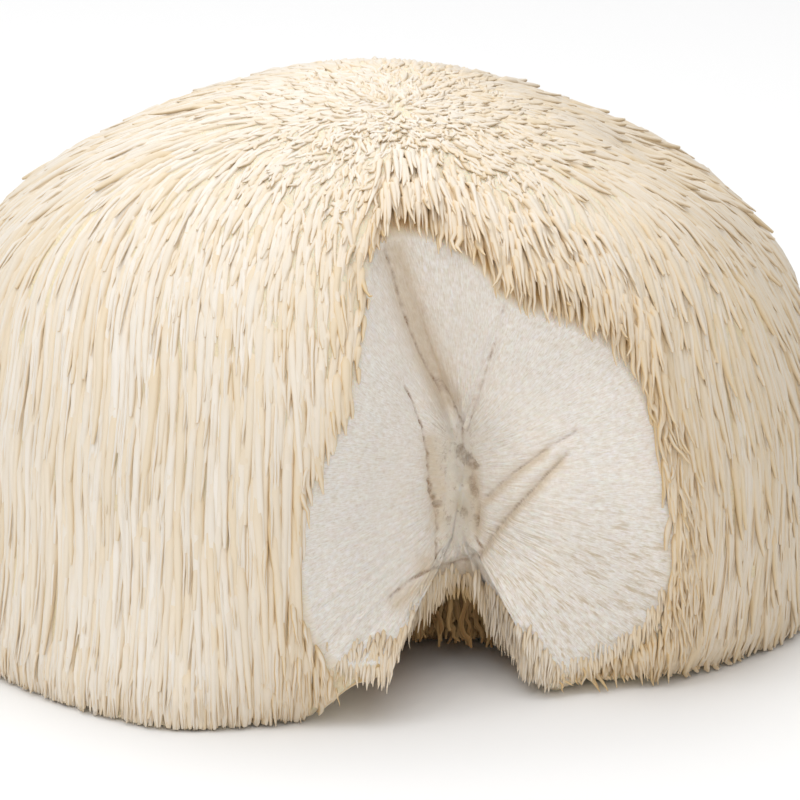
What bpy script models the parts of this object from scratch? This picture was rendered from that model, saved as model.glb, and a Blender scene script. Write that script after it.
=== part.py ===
"""Lion's mane mushroom, pulled off its growing place: one solid that grew as one piece.

Metres, +Z up. The torn side faces -Y, the underside rests on z = 0 and the origin is under the middle of
the box. The lengths below are in millimetres, and MM turns them to metres.
"""

import math

import bmesh
import bpy
from mathutils import Vector

OBJECT_NAME = "lions_mane_mushroom"
MM = 0.001
MIDDLE = Vector((-0.5, 1.9, 0.0))  # under the middle of the box, in the lengths below

# The dome of flesh, a squashed ball with a coat of hanging spines around it
CORE = Vector((5.0, 0.0, 38.0))  # a point deep in the flesh, from which every surface point is measured
FLESH_RADIUS = 81.5
FLESH_DEPTH_RATIO = 0.95  # front to back against side to side
FLESH_TOP = 102.0
WAIST_HEIGHT = 35.0  # where the dome is widest
UNDERCUT = 0.07  # how far the wall draws in at the base, as a share of the radius
FRONT_UNDERCUT = 0.10  # more of it under the right-hand lobe
FRONT_UNDERCUT_AZIMUTH = 36.0
FRONT_UNDERCUT_SPREAD = 20.0
COAT_SIDE = 3.5
COAT_CROWN = 2.0
COAT_IN_HOLLOW = 1.0
SHOULDER = 6.0  # the coat rises to its full thickness over this distance from the torn edge

# Broad lobes and folds of the dome: azimuth from the front, elevation, spread in degrees, and rise
LOBES = (
    (70.0, 38.0, 16.0, 2.0),
    (110.0, 37.0, 13.0, 2.5),
    (101.0, 18.0, 12.0, 3.0),
    (88.0, 45.0, 9.0, -3.0),
    (90.0, 48.0, 34.0, -2.5),
    (-88.0, 28.0, 28.0, 3.0),
    (165.0, 25.0, 22.0, 3.0),
    (-140.0, 40.0, 20.0, 2.0),
    (-166.0, 12.0, 12.0, -2.5),
)

# The hollow under the torn side, between the feet of its two lobes
HOLLOW_CENTRE = Vector((12.5, -60.0, -2.0))
HOLLOW_RADII = Vector((16.5, 31.0, 21.0))

# The edge of the torn side, clockwise from the top, as seen from the front
TORN_EDGE = (
    (0.9, -55.5, 82.8),
    (9.6, -54.6, 83.4),
    (16.6, -56.9, 79.6),
    (23.2, -60.9, 73.4),
    (32.3, -60.2, 69.6),
    (41.1, -58.8, 64.8),
    (46.4, -59.5, 57.7),
    (50.0, -60.4, 49.8),
    (51.5, -61.3, 40.9),
    (53.1, -59.8, 27.5),
    (51.8, -56.2, 15.1),
    (47.4, -55.8, 9.3),
    (40.2, -57.8, 5.3),
    (30.1, -58.6, 3.5),
    (24.3, -48.0, 7.0),
    (18.9, -46.0, 15.5),
    (14.9, -43.0, 16.1),
    (10.8, -50.0, 17.4),
    (4.4, -64.0, 14.5),
    (-1.0, -74.5, 11.5),
    (-6.0, -76.0, 11.2),
    (-10.0, -76.6, 15.5),
    (-12.6, -77.6, 27.0),
    (-12.5, -77.8, 36.0),
    (-9.2, -76.9, 47.5),
    (-4.2, -74.4, 57.2),
    (-2.1, -68.6, 68.2),
    (-1.3, -61.6, 77.1),
)

# The scar that the fibres fan out from, and the pillows between the creases of the torn side.
# A pillow is the span of the edge that it fills, counted in edge points, and its height.
SCAR_CENTRE = Vector((15.2, -46.2, 35.0))
SCAR_HALF_WIDTH = 2.6
SCAR_HALF_HEIGHT = 10.5
PILLOWS = (
    (0.3, 3.0, 2.5),
    (3.0, 15.6, 6.5),
    (15.6, 28.3, 3.5),
)
PILLOW_OUT = Vector((0.15, -0.95, 0.2)).normalized()

# How finely the ball is cut up
FANS = 52
FACE_RINGS = 8
COAT_RINGS = 16
COAT_START = (2.0, 6.0)  # the first rings outside the torn edge lie this far from it
BASE_DIP = 3.0  # the underside reaches this far below the floor before it is cut flat

# Locks of spines: tier by tier, elevation of the root, length, half width, spacing in degrees of azimuth,
# and the first azimuth. A lock is left out where the torn side or the hollow would hold it.
WHORL = Vector((5.0, -25.0, 0.0))  # the spines of the crown lie away from this point
LOCK_TIERS = (
    (68.0, 18.0, 4.6, 36.0, 8.0),
    (49.0, 32.0, 6.0, 24.0, 20.0),
    (27.0, 42.0, 6.6, 16.0, 5.0),
    (5.0, 42.0, 6.6, 11.6, 0.0),
)
FRINGE_AZIMUTHS = (-22.0, -13.0, -3.0, 6.0, 16.0, 27.0, 38.0, 48.0)
FRINGE_ELEVATION = 51.0
FRINGE_LENGTH = 15.0
FRINGE_HALF_WIDTH = 3.2
LOCK_POINTS = 6
LOCK_TIP = 0.35  # half width at the tip
LOCK_SUNK = 0.55  # share of its half width that a lock's middle line lies under the coat
LOCK_FREE_TIP = 1.4  # how far the tip stands out
AZIMUTH_WANDER = 0.12  # share of the spacing that roots stray sideways
ELEVATION_WANDER = 3.5  # degrees that they stray up and down
LENGTH_WANDER = 0.14  # share of the length that locks differ by
LOWEST_TIP = 1.5
TORN_MARGIN = 4.0  # degrees that a lock keeps from the torn side

FLESH_COLOUR = (0.86, 0.78, 0.66, 1.0)
FLESH_ROUGHNESS = 0.6


def placed(point):
    """A point in metres, with the origin under the middle of the box."""
    return (point - MIDDLE) * MM


def direction(azimuth, elevation):
    """Unit vector, with the azimuth in degrees from the front (-Y) towards the right (+X)."""
    a = math.radians(azimuth)
    e = math.radians(elevation)
    return Vector((math.sin(a) * math.cos(e), -math.cos(a) * math.cos(e), math.sin(e)))


def lobe_rise(way):
    """How far the lobes and folds lift the dome in this direction."""
    rise = 0.0
    for azimuth, elevation, spread, height in LOBES:
        off = math.degrees(way.angle(direction(azimuth, elevation)))
        rise += height * math.exp(-((off / spread) ** 2))
    return rise


def undercut(point):
    """Share of the radius that the wall draws in at the base below this point."""
    azimuth = math.degrees(math.atan2(point.x, -point.y))
    off = (azimuth - FRONT_UNDERCUT_AZIMUTH) / FRONT_UNDERCUT_SPREAD
    return UNDERCUT + FRONT_UNDERCUT * math.exp(-off * off)


def inside_dome(point):
    """Whether the point lies in the smooth dome, without its lobes."""
    across = math.hypot(point.x, point.y / FLESH_DEPTH_RATIO) / FLESH_RADIUS
    if point.z > WAIST_HEIGHT:
        up = (point.z - WAIST_HEIGHT) / (FLESH_TOP - WAIST_HEIGHT)
        return up < 1.0 and across < math.sqrt(1.0 - up * up)
    down = (WAIST_HEIGHT - point.z) / WAIST_HEIGHT
    return across < 1.0 - undercut(point) * down * down


def dome_reach(way):
    """Distance from CORE to the dome's skin, by halving."""
    near = 0.0
    far = 2.0 * FLESH_RADIUS
    for _ in range(30):
        middle = (near + far) / 2.0
        if inside_dome(CORE + way * middle):
            near = middle
        else:
            far = middle
    return near + lobe_rise(way)


def hollow_reach(way):
    """Distance from CORE to the hollow's wall, or infinity where the ray misses it."""
    start = Vector((a / r for a, r in zip(CORE - HOLLOW_CENTRE, HOLLOW_RADII)))
    step = Vector((a / r for a, r in zip(way, HOLLOW_RADII)))
    a = step.dot(step)
    b = start.dot(step)
    inner = b * b - a * (start.dot(start) - 1.0)
    if inner < 0.0 or b > 0.0:
        return math.inf
    return (-b - math.sqrt(inner)) / a


def coat_thickness(height):
    """Spines stand thicker on the sides than on the crown."""
    share = min(max((height - WAIST_HEIGHT) / (FLESH_TOP - WAIST_HEIGHT), 0.0), 1.0)
    return COAT_SIDE + (COAT_CROWN - COAT_SIDE) * share * share


def surface(way, coat=1.0):
    """Point on the mushroom's outside in this direction, with a share of the coat on the flesh."""
    flesh = dome_reach(way)
    thickness = coat_thickness((CORE + way * flesh).z)
    hollow = hollow_reach(way)
    if hollow < flesh:
        flesh = hollow
        thickness = COAT_IN_HOLLOW
    reach = flesh + coat * thickness
    if way.z < 0.0:
        reach = min(reach, (CORE.z + BASE_DIP) / -way.z)
    return CORE + way * reach


def smooth_closed(points, place):
    """Point on the closed curve through the points, with the place counted in points."""
    count = len(points)
    index = math.floor(place)
    t = place - index
    p0, p1, p2, p3 = (Vector(points[(index + k) % count]) for k in (-1, 0, 1, 2))
    return 0.5 * (2 * p1 + (p2 - p0) * t + (2 * p0 - 5 * p1 + 4 * p2 - p3) * t * t
                  + (3 * p1 - p0 - 3 * p2 + p3) * t ** 3)


def edge_point(place):
    """Point of the torn edge, brought onto the flesh."""
    return surface((smooth_closed(TORN_EDGE, place) - CORE).normalized(), coat=0.0)


def even_places(count):
    """Places along the torn edge at equal distances, counted in edge points."""
    fine = 40 * len(TORN_EDGE)
    places = [k * len(TORN_EDGE) / fine for k in range(fine + 1)]
    points = [smooth_closed(TORN_EDGE, place) for place in places]
    run = [0.0]
    for before, after in zip(points, points[1:]):
        run.append(run[-1] + (after - before).length)
    chosen = []
    k = 0
    for n in range(count):
        wanted = run[-1] * n / count
        while run[k + 1] < wanted:
            k += 1
        share = (wanted - run[k]) / (run[k + 1] - run[k])
        chosen.append(places[k] + share * (places[k + 1] - places[k]))
    return chosen


def pillow_height(place):
    """Height of the flesh between two creases, at this place of the torn edge."""
    for start, end, height in PILLOWS:
        for shifted in (place, place + len(TORN_EDGE)):
            if start <= shifted <= end:
                return height * math.sin(math.pi * (shifted - start) / (end - start)) ** 0.7
    return 0.0


def torn_point(place, share):
    """Point of the torn side: from the scar, at share 0, to the edge, at share 1."""
    edge = edge_point(place)
    fan = math.atan2((edge.z - SCAR_CENTRE.z) / SCAR_HALF_HEIGHT, (edge.x - SCAR_CENTRE.x) / SCAR_HALF_HEIGHT)
    scar = SCAR_CENTRE + Vector((SCAR_HALF_WIDTH * math.cos(fan), 0.0, SCAR_HALF_HEIGHT * math.sin(fan)))
    flat = scar.lerp(edge, share)
    return flat + PILLOW_OUT * pillow_height(place) * math.sin(math.pi * share ** 0.85)


def turned(start, end, angle):
    """The direction that lies this angle from start on the way to end."""
    side = (end - start * start.dot(end)).normalized()
    return start * math.cos(angle) + side * math.sin(angle)


def coat_point(place, ring):
    """Point outside the torn edge, on the line over the dome to the pole at the back."""
    edge = edge_point(place)
    start = (edge - CORE).normalized()
    back = (CORE - SCAR_CENTRE).normalized()
    whole = start.angle(back)
    if ring <= len(COAT_START):
        angle = COAT_START[ring - 1] / (edge - CORE).length
    else:
        first = COAT_START[-1] / (edge - CORE).length
        share = (ring - len(COAT_START)) / (COAT_RINGS - len(COAT_START))
        angle = first + (whole - first) * share
    rise = min(angle * (edge - CORE).length / SHOULDER, 1.0)
    return surface(turned(start, back, angle), coat=math.sin(math.pi / 2.0 * rise))


def make_body():
    """A ball with its poles at the scar and at the back, reshaped ring by ring."""
    rings = FACE_RINGS + COAT_RINGS
    places = even_places(FANS)
    mesh = bmesh.new()
    bmesh.ops.create_uvsphere(mesh, u_segments=FANS, v_segments=rings, radius=1.0)
    for vert in mesh.verts:
        ring = round(math.acos(max(-1.0, min(1.0, vert.co.z))) / math.pi * rings)
        fan = round(-math.atan2(vert.co.y, vert.co.x) / (2.0 * math.pi) * FANS) % FANS
        if ring == 0:
            vert.co = SCAR_CENTRE.copy()
        elif ring == rings:
            vert.co = surface((CORE - SCAR_CENTRE).normalized())
        elif ring <= FACE_RINGS:
            vert.co = torn_point(places[fan], (ring - 1) / (FACE_RINGS - 1))
        else:
            vert.co = coat_point(places[fan], ring - FACE_RINGS)
    for vert in mesh.verts:
        vert.co = placed(vert.co)
    bmesh.ops.recalc_face_normals(mesh, faces=mesh.faces)
    data = bpy.data.meshes.new("fruiting_body")
    mesh.to_mesh(data)
    mesh.free()
    return bpy.data.objects.new("fruiting_body", data)


def torn_span():
    """Azimuth and elevation, from CORE, of points round the torn edge."""
    span = []
    for place in range(len(TORN_EDGE)):
        way = (edge_point(place) - CORE).normalized()
        span.append((math.degrees(math.atan2(way.x, -way.y)), math.degrees(math.asin(way.z))))
    return span


def on_torn_side(way, span):
    """Whether a direction from CORE meets the torn side, or comes close to it."""
    azimuth = math.degrees(math.atan2(way.x, -way.y))
    elevation = math.degrees(math.asin(way.z))
    inside = False
    for (a0, e0), (a1, e1) in zip(span, span[1:] + span[:1]):
        if math.hypot(azimuth - a0, elevation - e0) < TORN_MARGIN:
            return True
        if (e0 > elevation) != (e1 > elevation):
            if azimuth < a0 + (elevation - e0) / (e1 - e0) * (a1 - a0):
                inside = not inside
    return inside


def hang(way):
    """Where the spines lie: away from the whorl on the crown, straight down on the sides."""
    point = surface(way)
    normal = (point - CORE).normalized()
    outward = Vector((point.x - WHORL.x, point.y - WHORL.y, 0.0)).normalized()
    down = Vector((0.0, 0.0, -1.0))
    steep = min(max((FLESH_TOP - point.z) / 40.0, 0.0), 1.0)
    flow = outward * (1.0 - steep) + down * (0.35 + steep)
    return (flow - normal * flow.dot(normal)).normalized()


def lock_path(way, length, widest):
    """Points of one lock's middle line, from its sunk root to its free tip above the floor."""
    length = min(length, surface(way).z - LOWEST_TIP)
    points = []
    for k in range(LOCK_POINTS):
        share = k / (LOCK_POINTS - 1)
        lift = LOCK_FREE_TIP * share * share - LOCK_SUNK * lock_half_width(share, widest)
        points.append(surface(way) + way * lift)
        way = (surface(way) + hang(way) * length / (LOCK_POINTS - 1) - CORE).normalized()
    return points


def lock_half_width(share, widest):
    """A lock swells from its root and then thins out to its tip."""
    swell = min(1.0, 0.55 + 1.5 * share)
    return max(widest * swell * (1.0 - share) ** 0.6, LOCK_TIP)


def add_lock(curve, points, widest):
    """One spline of the curve, thick in the middle and pointed at the tip."""
    spline = curve.splines.new("POLY")
    spline.points.add(len(points) - 1)
    for k, point in enumerate(points):
        spline.points[k].co = (*placed(point), 1.0)
        spline.points[k].radius = lock_half_width(k / (len(points) - 1), widest) * MM


def make_locks(name, locks, collection):
    """A mesh of closed locks that don't touch each other, ready to be joined to the body."""
    curve = bpy.data.curves.new(name + "_lines", "CURVE")
    curve.dimensions = "3D"
    curve.bevel_depth = 1.0
    curve.bevel_resolution = 1
    curve.use_fill_caps = True
    for points, widest in locks:
        add_lock(curve, points, widest)
    lines = bpy.data.objects.new(name + "_lines", curve)
    collection.objects.link(lines)
    mesh = bpy.data.meshes.new_from_object(lines.evaluated_get(bpy.context.evaluated_depsgraph_get()))
    place = lines.matrix_world.copy()
    bpy.data.objects.remove(lines)
    welded = bmesh.new()
    welded.from_mesh(mesh)
    bmesh.ops.remove_doubles(welded, verts=welded.verts, dist=0.00001)
    bmesh.ops.recalc_face_normals(welded, faces=welded.faces)
    welded.to_mesh(mesh)
    welded.free()
    locks_object = bpy.data.objects.new(name, mesh)
    locks_object.matrix_world = place
    hide_cutter(locks_object)
    collection.objects.link(locks_object)
    return locks_object


def hide_cutter(cutter):
    """A tool of the modelling shows as a wire and isn't part of the object."""
    cutter.hide_render = True
    cutter.display_type = "WIRE"


def plan_locks():
    """Groups of locks: every second lock of a tier, so that no lock touches another of its group."""
    span = torn_span()
    groups = []
    for tier, (elevation, length, width, spacing, first) in enumerate(LOCK_TIERS):
        ways = []
        azimuth = first
        while azimuth < first + 360.0 - spacing / 2.0:
            turn = azimuth + AZIMUTH_WANDER * spacing * math.sin(5.1 * azimuth)
            way = direction(turn, elevation + ELEVATION_WANDER * math.sin(3.7 * azimuth))
            ways.append(way)
            azimuth += spacing
        lengths = [length * (1.0 + LENGTH_WANDER * math.sin(2.3 * k)) for k in range(len(ways))]
        paths = [lock_path(way, long, width) for way, long in zip(ways, lengths)]
        kept = [(path, width) for path in paths if not crosses_torn_side(path, span)]
        groups.append(kept[0::2])
        groups.append(kept[1::2])
    fringe = []
    for azimuth in FRINGE_AZIMUTHS:
        path = lock_path(direction(azimuth, FRINGE_ELEVATION), FRINGE_LENGTH, FRINGE_HALF_WIDTH)
        fringe.append((path, FRINGE_HALF_WIDTH))
    groups.append(fringe[0::2])
    groups.append(fringe[1::2])
    return groups


def crosses_torn_side(path, span):
    """Whether any point of a lock lies over the torn side."""
    return any(on_torn_side((point - CORE).normalized(), span) for point in path)


def add_boolean(target, cutter, operation):
    """Join a piece to the target, or cut it away."""
    modifier = target.modifiers.new(cutter.name, "BOOLEAN")
    modifier.operation = operation
    modifier.solver = "EXACT"
    modifier.object = cutter


def make_floor(collection):
    """A block under the floor, which cuts the underside flat."""
    mesh = bmesh.new()
    bmesh.ops.create_cube(mesh, size=1.0)
    for vert in mesh.verts:
        vert.co = Vector((vert.co.x * 400.0, vert.co.y * 400.0, (vert.co.z - 0.5) * 50.0)) * MM
    data = bpy.data.meshes.new("floor_block")
    mesh.to_mesh(data)
    mesh.free()
    block = bpy.data.objects.new("floor_block", data)
    hide_cutter(block)
    collection.objects.link(block)
    return block


def make_material():
    """Cream flesh, matt and a little waxy."""
    material = bpy.data.materials.new("cream_flesh")
    material.use_nodes = True
    shader = material.node_tree.nodes["Principled BSDF"]
    shader.inputs["Base Color"].default_value = FLESH_COLOUR
    shader.inputs["Roughness"].default_value = FLESH_ROUGHNESS
    shader.inputs["Metallic"].default_value = 0.0
    return material


def main():
    for old in list(bpy.data.objects):
        bpy.data.objects.remove(old)
    parts = bpy.data.collections.new(OBJECT_NAME)
    cutters = bpy.data.collections.new("cutters")
    bpy.context.scene.collection.children.link(parts)
    bpy.context.scene.collection.children.link(cutters)

    body = make_body()
    parts.objects.link(body)
    body.data.materials.append(make_material())
    for number, locks in enumerate(plan_locks()):
        add_boolean(body, make_locks(f"locks_{number}", locks, cutters), "UNION")
    add_boolean(body, make_floor(cutters), "DIFFERENCE")
    body.data.shade_smooth()
    body.data.set_sharp_from_angle(angle=math.radians(40.0))


main()
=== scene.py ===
# %% [markdown]
# # A lion's mane mushroom in Blender
#
# A lion's mane is a toothed fungus: a ball of pale flesh that hides under thousands of hanging spines, each
# about a millimetre thick. This one was pulled off the place it grew on, so one side is bare, with torn
# fibres that fan out from a small scar. The lesson builds the flesh as one closed skin, grows the spines on
# it with Geometry Nodes, and finishes both with materials made of nodes.
#
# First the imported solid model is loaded. It is the frame that everything is measured from.

import math

import bpy
import numpy as np
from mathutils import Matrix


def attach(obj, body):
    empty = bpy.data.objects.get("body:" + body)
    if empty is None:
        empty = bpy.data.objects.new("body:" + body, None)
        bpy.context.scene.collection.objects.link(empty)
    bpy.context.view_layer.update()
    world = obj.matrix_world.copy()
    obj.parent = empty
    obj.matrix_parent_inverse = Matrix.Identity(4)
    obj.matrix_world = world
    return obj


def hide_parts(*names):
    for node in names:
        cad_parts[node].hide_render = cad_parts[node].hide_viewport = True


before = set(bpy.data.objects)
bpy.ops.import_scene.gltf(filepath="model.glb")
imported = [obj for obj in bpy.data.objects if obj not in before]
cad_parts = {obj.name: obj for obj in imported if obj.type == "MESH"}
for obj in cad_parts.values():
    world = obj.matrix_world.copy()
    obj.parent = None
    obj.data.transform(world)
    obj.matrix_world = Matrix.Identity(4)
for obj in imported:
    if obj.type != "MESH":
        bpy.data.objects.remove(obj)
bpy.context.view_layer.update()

# %% [markdown]
# ## Two small helpers
#
# Colours are easiest to pick as sRGB hex values, but shaders work in linear light, so one function turns
# the one into the other. A second function adds a node to any tree: it sets the node's properties, fills in
# its inputs with values, and links those inputs for which it is given another node's output. Every material
# and every Geometry Nodes tree below is written with it.

# %% Helpers
MM = 0.001


def linear(code):
    """A linear RGBA colour from an sRGB hex code."""
    channels = [int(code[i:i + 2], 16) / 255.0 for i in (1, 3, 5)]
    return (*[c / 12.92 if c <= 0.04045 else ((c + 0.055) / 1.055) ** 2.4 for c in channels], 1.0)


def add_node(tree, kind, inputs=None, **settings):
    """A new node, with its settings, and its inputs given as values or as the outputs that feed them."""
    node = tree.nodes.new(kind)
    for name, value in settings.items():
        setattr(node, name, value)
    for name, value in (inputs or {}).items():
        sockets = [s for s in node.inputs if s.enabled and s.name == name] if isinstance(name, str) else [node.inputs[name]]
        if isinstance(value, bpy.types.NodeSocket):
            tree.links.new(value, sockets[0])
        else:
            sockets[0].default_value = value
    return node


# %% [markdown]
# ## The rule of the shape
#
# The flesh is a squashed ball that draws in a little towards the table. A few broad lobes and folds keep it
# from looking turned on a lathe. Every point of the skin is found along a ray from one point deep in the
# flesh, the core: the distance to the skin is found by halving, for thousands of rays at once with numpy.
# The sizes are in millimetres, and the frame's origin is under the middle of the box.

# %% The dome
MIDDLE = np.array([-0.5, 1.9, 0.0])  # the frame's origin, in the lengths below
CORE = np.array([5.0, 0.0, 38.0])
FLESH_RADIUS = 81.5
FLESH_DEPTH_RATIO = 0.95
FLESH_TOP = 102.0
WAIST_HEIGHT = 35.0
UNDERCUT = 0.07
FRONT_UNDERCUT = 0.10
FRONT_UNDERCUT_AZIMUTH = 36.0
FRONT_UNDERCUT_SPREAD = 20.0
LOBES = (
    (70.0, 38.0, 16.0, 2.0),
    (110.0, 37.0, 13.0, 2.5),
    (101.0, 18.0, 12.0, 3.0),
    (88.0, 45.0, 9.0, -3.0),
    (90.0, 48.0, 34.0, -2.5),
    (-88.0, 28.0, 28.0, 3.0),
    (165.0, 25.0, 22.0, 3.0),
    (-140.0, 40.0, 20.0, 2.0),
    (-166.0, 12.0, 12.0, -2.5),
    (-118.0, 42.0, 24.0, -3.2),
)


def unit(vectors):
    """The vectors, each one unit long."""
    return vectors / np.maximum(np.linalg.norm(vectors, axis=-1, keepdims=True), 1e-9)


def direction(azimuth, elevation):
    """Unit vectors, with the azimuth in degrees from the front (-Y) towards the right (+X)."""
    a = np.radians(azimuth)
    e = np.radians(elevation)
    return np.stack([np.sin(a) * np.cos(e), -np.cos(a) * np.cos(e), np.sin(e) + 0.0 * a], axis=-1)


def lobe_rise(ways):
    """How far the lobes and folds lift the dome along each ray."""
    rise = np.zeros(ways.shape[:-1])
    for azimuth, elevation, spread, height in LOBES:
        off = np.degrees(np.arccos(np.clip(ways @ direction(azimuth, elevation), -1.0, 1.0)))
        rise += height * np.exp(-((off / spread) ** 2))
    return rise


def inside_dome(points):
    """Whether each point lies in the smooth dome, without its lobes."""
    x, y, z = points[..., 0], points[..., 1], points[..., 2]
    across = np.hypot(x, y / FLESH_DEPTH_RATIO) / FLESH_RADIUS
    up = (z - WAIST_HEIGHT) / (FLESH_TOP - WAIST_HEIGHT)
    down = (WAIST_HEIGHT - z) / WAIST_HEIGHT
    off = (np.degrees(np.arctan2(x, -y)) - FRONT_UNDERCUT_AZIMUTH) / FRONT_UNDERCUT_SPREAD
    drawn_in = UNDERCUT + FRONT_UNDERCUT * np.exp(-off * off)
    above = (up < 1.0) & (across < np.sqrt(np.clip(1.0 - up * up, 0.0, 1.0)))
    return np.where(z > WAIST_HEIGHT, above, across < 1.0 - drawn_in * down * down)


def dome_reach(ways, halvings=24):
    """Distance from the core to the dome's skin along each ray."""
    near = np.zeros(ways.shape[:-1])
    far = np.full(ways.shape[:-1], 2.0 * FLESH_RADIUS)
    for _ in range(halvings):
        middle = (near + far) / 2.0
        inside = inside_dome(CORE + ways * middle[..., None])
        near = np.where(inside, middle, near)
        far = np.where(inside, far, middle)
    return near + lobe_rise(ways)


# %% [markdown]
# ## The torn side
#
# Where the mushroom was attached, two bare lobes and a wedge above them meet in a cleft. The edge of that
# bare side is a closed curve through points on the dome, and below it, between the feet of the two lobes,
# the underside is hollow. The surface between the scar and the edge is made like a fan: straight lines from
# the scar to the edge, with a pillow between every two creases.

# %% The torn edge, the hollow and the fan
HOLLOW_CENTRE = np.array([12.5, -60.0, -2.0])
HOLLOW_RADII = np.array([16.5, 31.0, 21.0])
TORN_EDGE = np.array((
    (0.9, -55.5, 82.8),
    (9.6, -54.6, 83.4),
    (16.6, -56.9, 79.6),
    (23.2, -60.9, 73.4),
    (32.3, -60.2, 69.6),
    (41.1, -58.8, 64.8),
    (46.4, -59.5, 57.7),
    (50.0, -60.4, 49.8),
    (51.5, -61.3, 40.9),
    (53.1, -59.8, 27.5),
    (51.8, -56.2, 15.1),
    (47.4, -55.8, 9.3),
    (40.2, -57.8, 5.3),
    (30.1, -58.6, 3.5),
    (24.3, -48.0, 7.0),
    (18.9, -46.0, 15.5),
    (14.9, -43.0, 16.1),
    (10.8, -50.0, 17.4),
    (4.4, -64.0, 14.5),
    (-1.0, -74.5, 11.5),
    (-6.0, -76.0, 11.2),
    (-10.0, -76.6, 15.5),
    (-12.6, -77.6, 27.0),
    (-12.5, -77.8, 36.0),
    (-9.2, -76.9, 47.5),
    (-4.2, -74.4, 57.2),
    (-2.1, -68.6, 68.2),
    (-1.3, -61.6, 77.1),
))
SCAR_CENTRE = np.array([15.2, -46.2, 35.0])
SCAR_HALF_WIDTH = 2.6
SCAR_HALF_HEIGHT = 10.5
PILLOWS = (
    (0.3, 3.0, 2.5),
    (3.0, 15.6, 6.5),
    (15.6, 28.3, 3.5),
)
PILLOW_OUT = unit(np.array([0.15, -0.95, 0.2]))


def hollow_reach(ways):
    """Distance from the core to the hollow's wall along each ray, or infinity where it misses."""
    start = (CORE - HOLLOW_CENTRE) / HOLLOW_RADII
    step = ways / HOLLOW_RADII
    a = (step * step).sum(axis=-1)
    b = (step * start).sum(axis=-1)
    inner = b * b - a * (start @ start - 1.0)
    hit = (inner > 0.0) & (b < 0.0)
    return np.where(hit, (-b - np.sqrt(np.clip(inner, 0.0, None))) / a, np.inf)


def flesh_point(ways, floor=0.6):
    """Point of the flesh along each ray, kept this far above the table."""
    reach = np.minimum(dome_reach(ways), hollow_reach(ways))
    fall = np.where(ways[..., 2] < 0.0, -ways[..., 2], 1e-9)
    return CORE + ways * np.minimum(reach, (CORE[2] - floor) / fall)[..., None]


def smooth_closed(points, places):
    """Points on the closed curve through the given points, with each place counted in points."""
    index = np.floor(places).astype(int)
    t = (places - index)[:, None]
    p0, p1, p2, p3 = (points[(index + k) % len(points)] for k in (-1, 0, 1, 2))
    return 0.5 * (2 * p1 + (p2 - p0) * t + (2 * p0 - 5 * p1 + 4 * p2 - p3) * t ** 2
                  + (3 * p1 - p0 - 3 * p2 + p3) * t ** 3)


def even_places(count):
    """Places along the torn edge at equal distances, counted in edge points."""
    places = np.linspace(0.0, len(TORN_EDGE), 40 * len(TORN_EDGE) + 1)
    points = smooth_closed(TORN_EDGE, places)
    run = np.concatenate([[0.0], np.cumsum(np.linalg.norm(np.diff(points, axis=0), axis=1))])
    return np.interp(run[-1] * np.arange(count) / count, run, places)


def pillow_heights(places):
    """Height of the flesh between two creases, at each place of the torn edge."""
    height = np.zeros(len(places))
    for start, end, rise in PILLOWS:
        for shift in (0.0, len(TORN_EDGE)):
            share = (places + shift - start) / (end - start)
            inside = (share > 0.0) & (share < 1.0)
            height = np.where(inside, rise * np.sin(np.pi * np.clip(share, 0.0, 1.0)) ** 0.7, height)
    return height


edge_loop = flesh_point(unit(smooth_closed(TORN_EDGE, even_places(240)) - CORE))
print("torn edge:", round(float(np.linalg.norm(np.diff(edge_loop, axis=0), axis=1).sum())), "mm round")

# %% [markdown]
# ## The camera
#
# The camera comes early, because the creases of the torn side are easiest to place where the photograph
# shows them. It looks slightly down, from three quarters of a metre, through a long lens. The same numbers
# give every point of the skin its place in the 800 by 800 picture.

# %% Camera
IMAGE_SIZE = 800
CAMERA_DISTANCE = 750.0
CAMERA_ELEVATION = math.radians(15.5)
CAMERA_TARGET = np.array([4.4, -30.0, 46.8])
PIXELS_PER_UNIT_SLOPE = 4103.0  # pixels for a slope of one across the view, which sets the lens
SENSOR_WIDTH = 36.0

look = np.array([0.0, math.cos(CAMERA_ELEVATION), -math.sin(CAMERA_ELEVATION)])
view_up = np.array([0.0, math.sin(CAMERA_ELEVATION), math.cos(CAMERA_ELEVATION)])
view_right = np.array([1.0, 0.0, 0.0])
camera_place = CAMERA_TARGET - look * CAMERA_DISTANCE


def picture_place(points):
    """Where each point shows in the picture, in pixels from its top left corner."""
    away = points - camera_place
    depth = away @ look
    across = IMAGE_SIZE / 2 + PIXELS_PER_UNIT_SLOPE * (away @ view_right) / depth
    down = IMAGE_SIZE / 2 - PIXELS_PER_UNIT_SLOPE * (away @ view_up) / depth
    return np.stack([across, down], axis=-1)


camera_data = bpy.data.cameras.new("photo_camera")
camera_data.sensor_width = SENSOR_WIDTH
camera_data.lens = SENSOR_WIDTH * PIXELS_PER_UNIT_SLOPE / IMAGE_SIZE
camera_data.clip_start = 0.01
camera_data.clip_end = 20.0
camera = bpy.data.objects.new("photo_camera", camera_data)
bpy.context.scene.collection.objects.link(camera)
camera.location = (camera_place - MIDDLE) * MM
camera.rotation_euler = (math.pi / 2 - CAMERA_ELEVATION, 0.0, 0.0)
bpy.context.scene.camera = camera
print("lens:", round(camera_data.lens, 1), "mm")

# %% [markdown]
# ## The skin of flesh
#
# The skin is one closed mesh. Its vertices lie on lines that leave the scar, cross the torn edge and run on
# over the dome to the middle of the back, so the rows of faces follow the torn fibres. Close to the scar the
# rows are fine, because that is what the eye looks at. Under the spines they are coarse.

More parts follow.
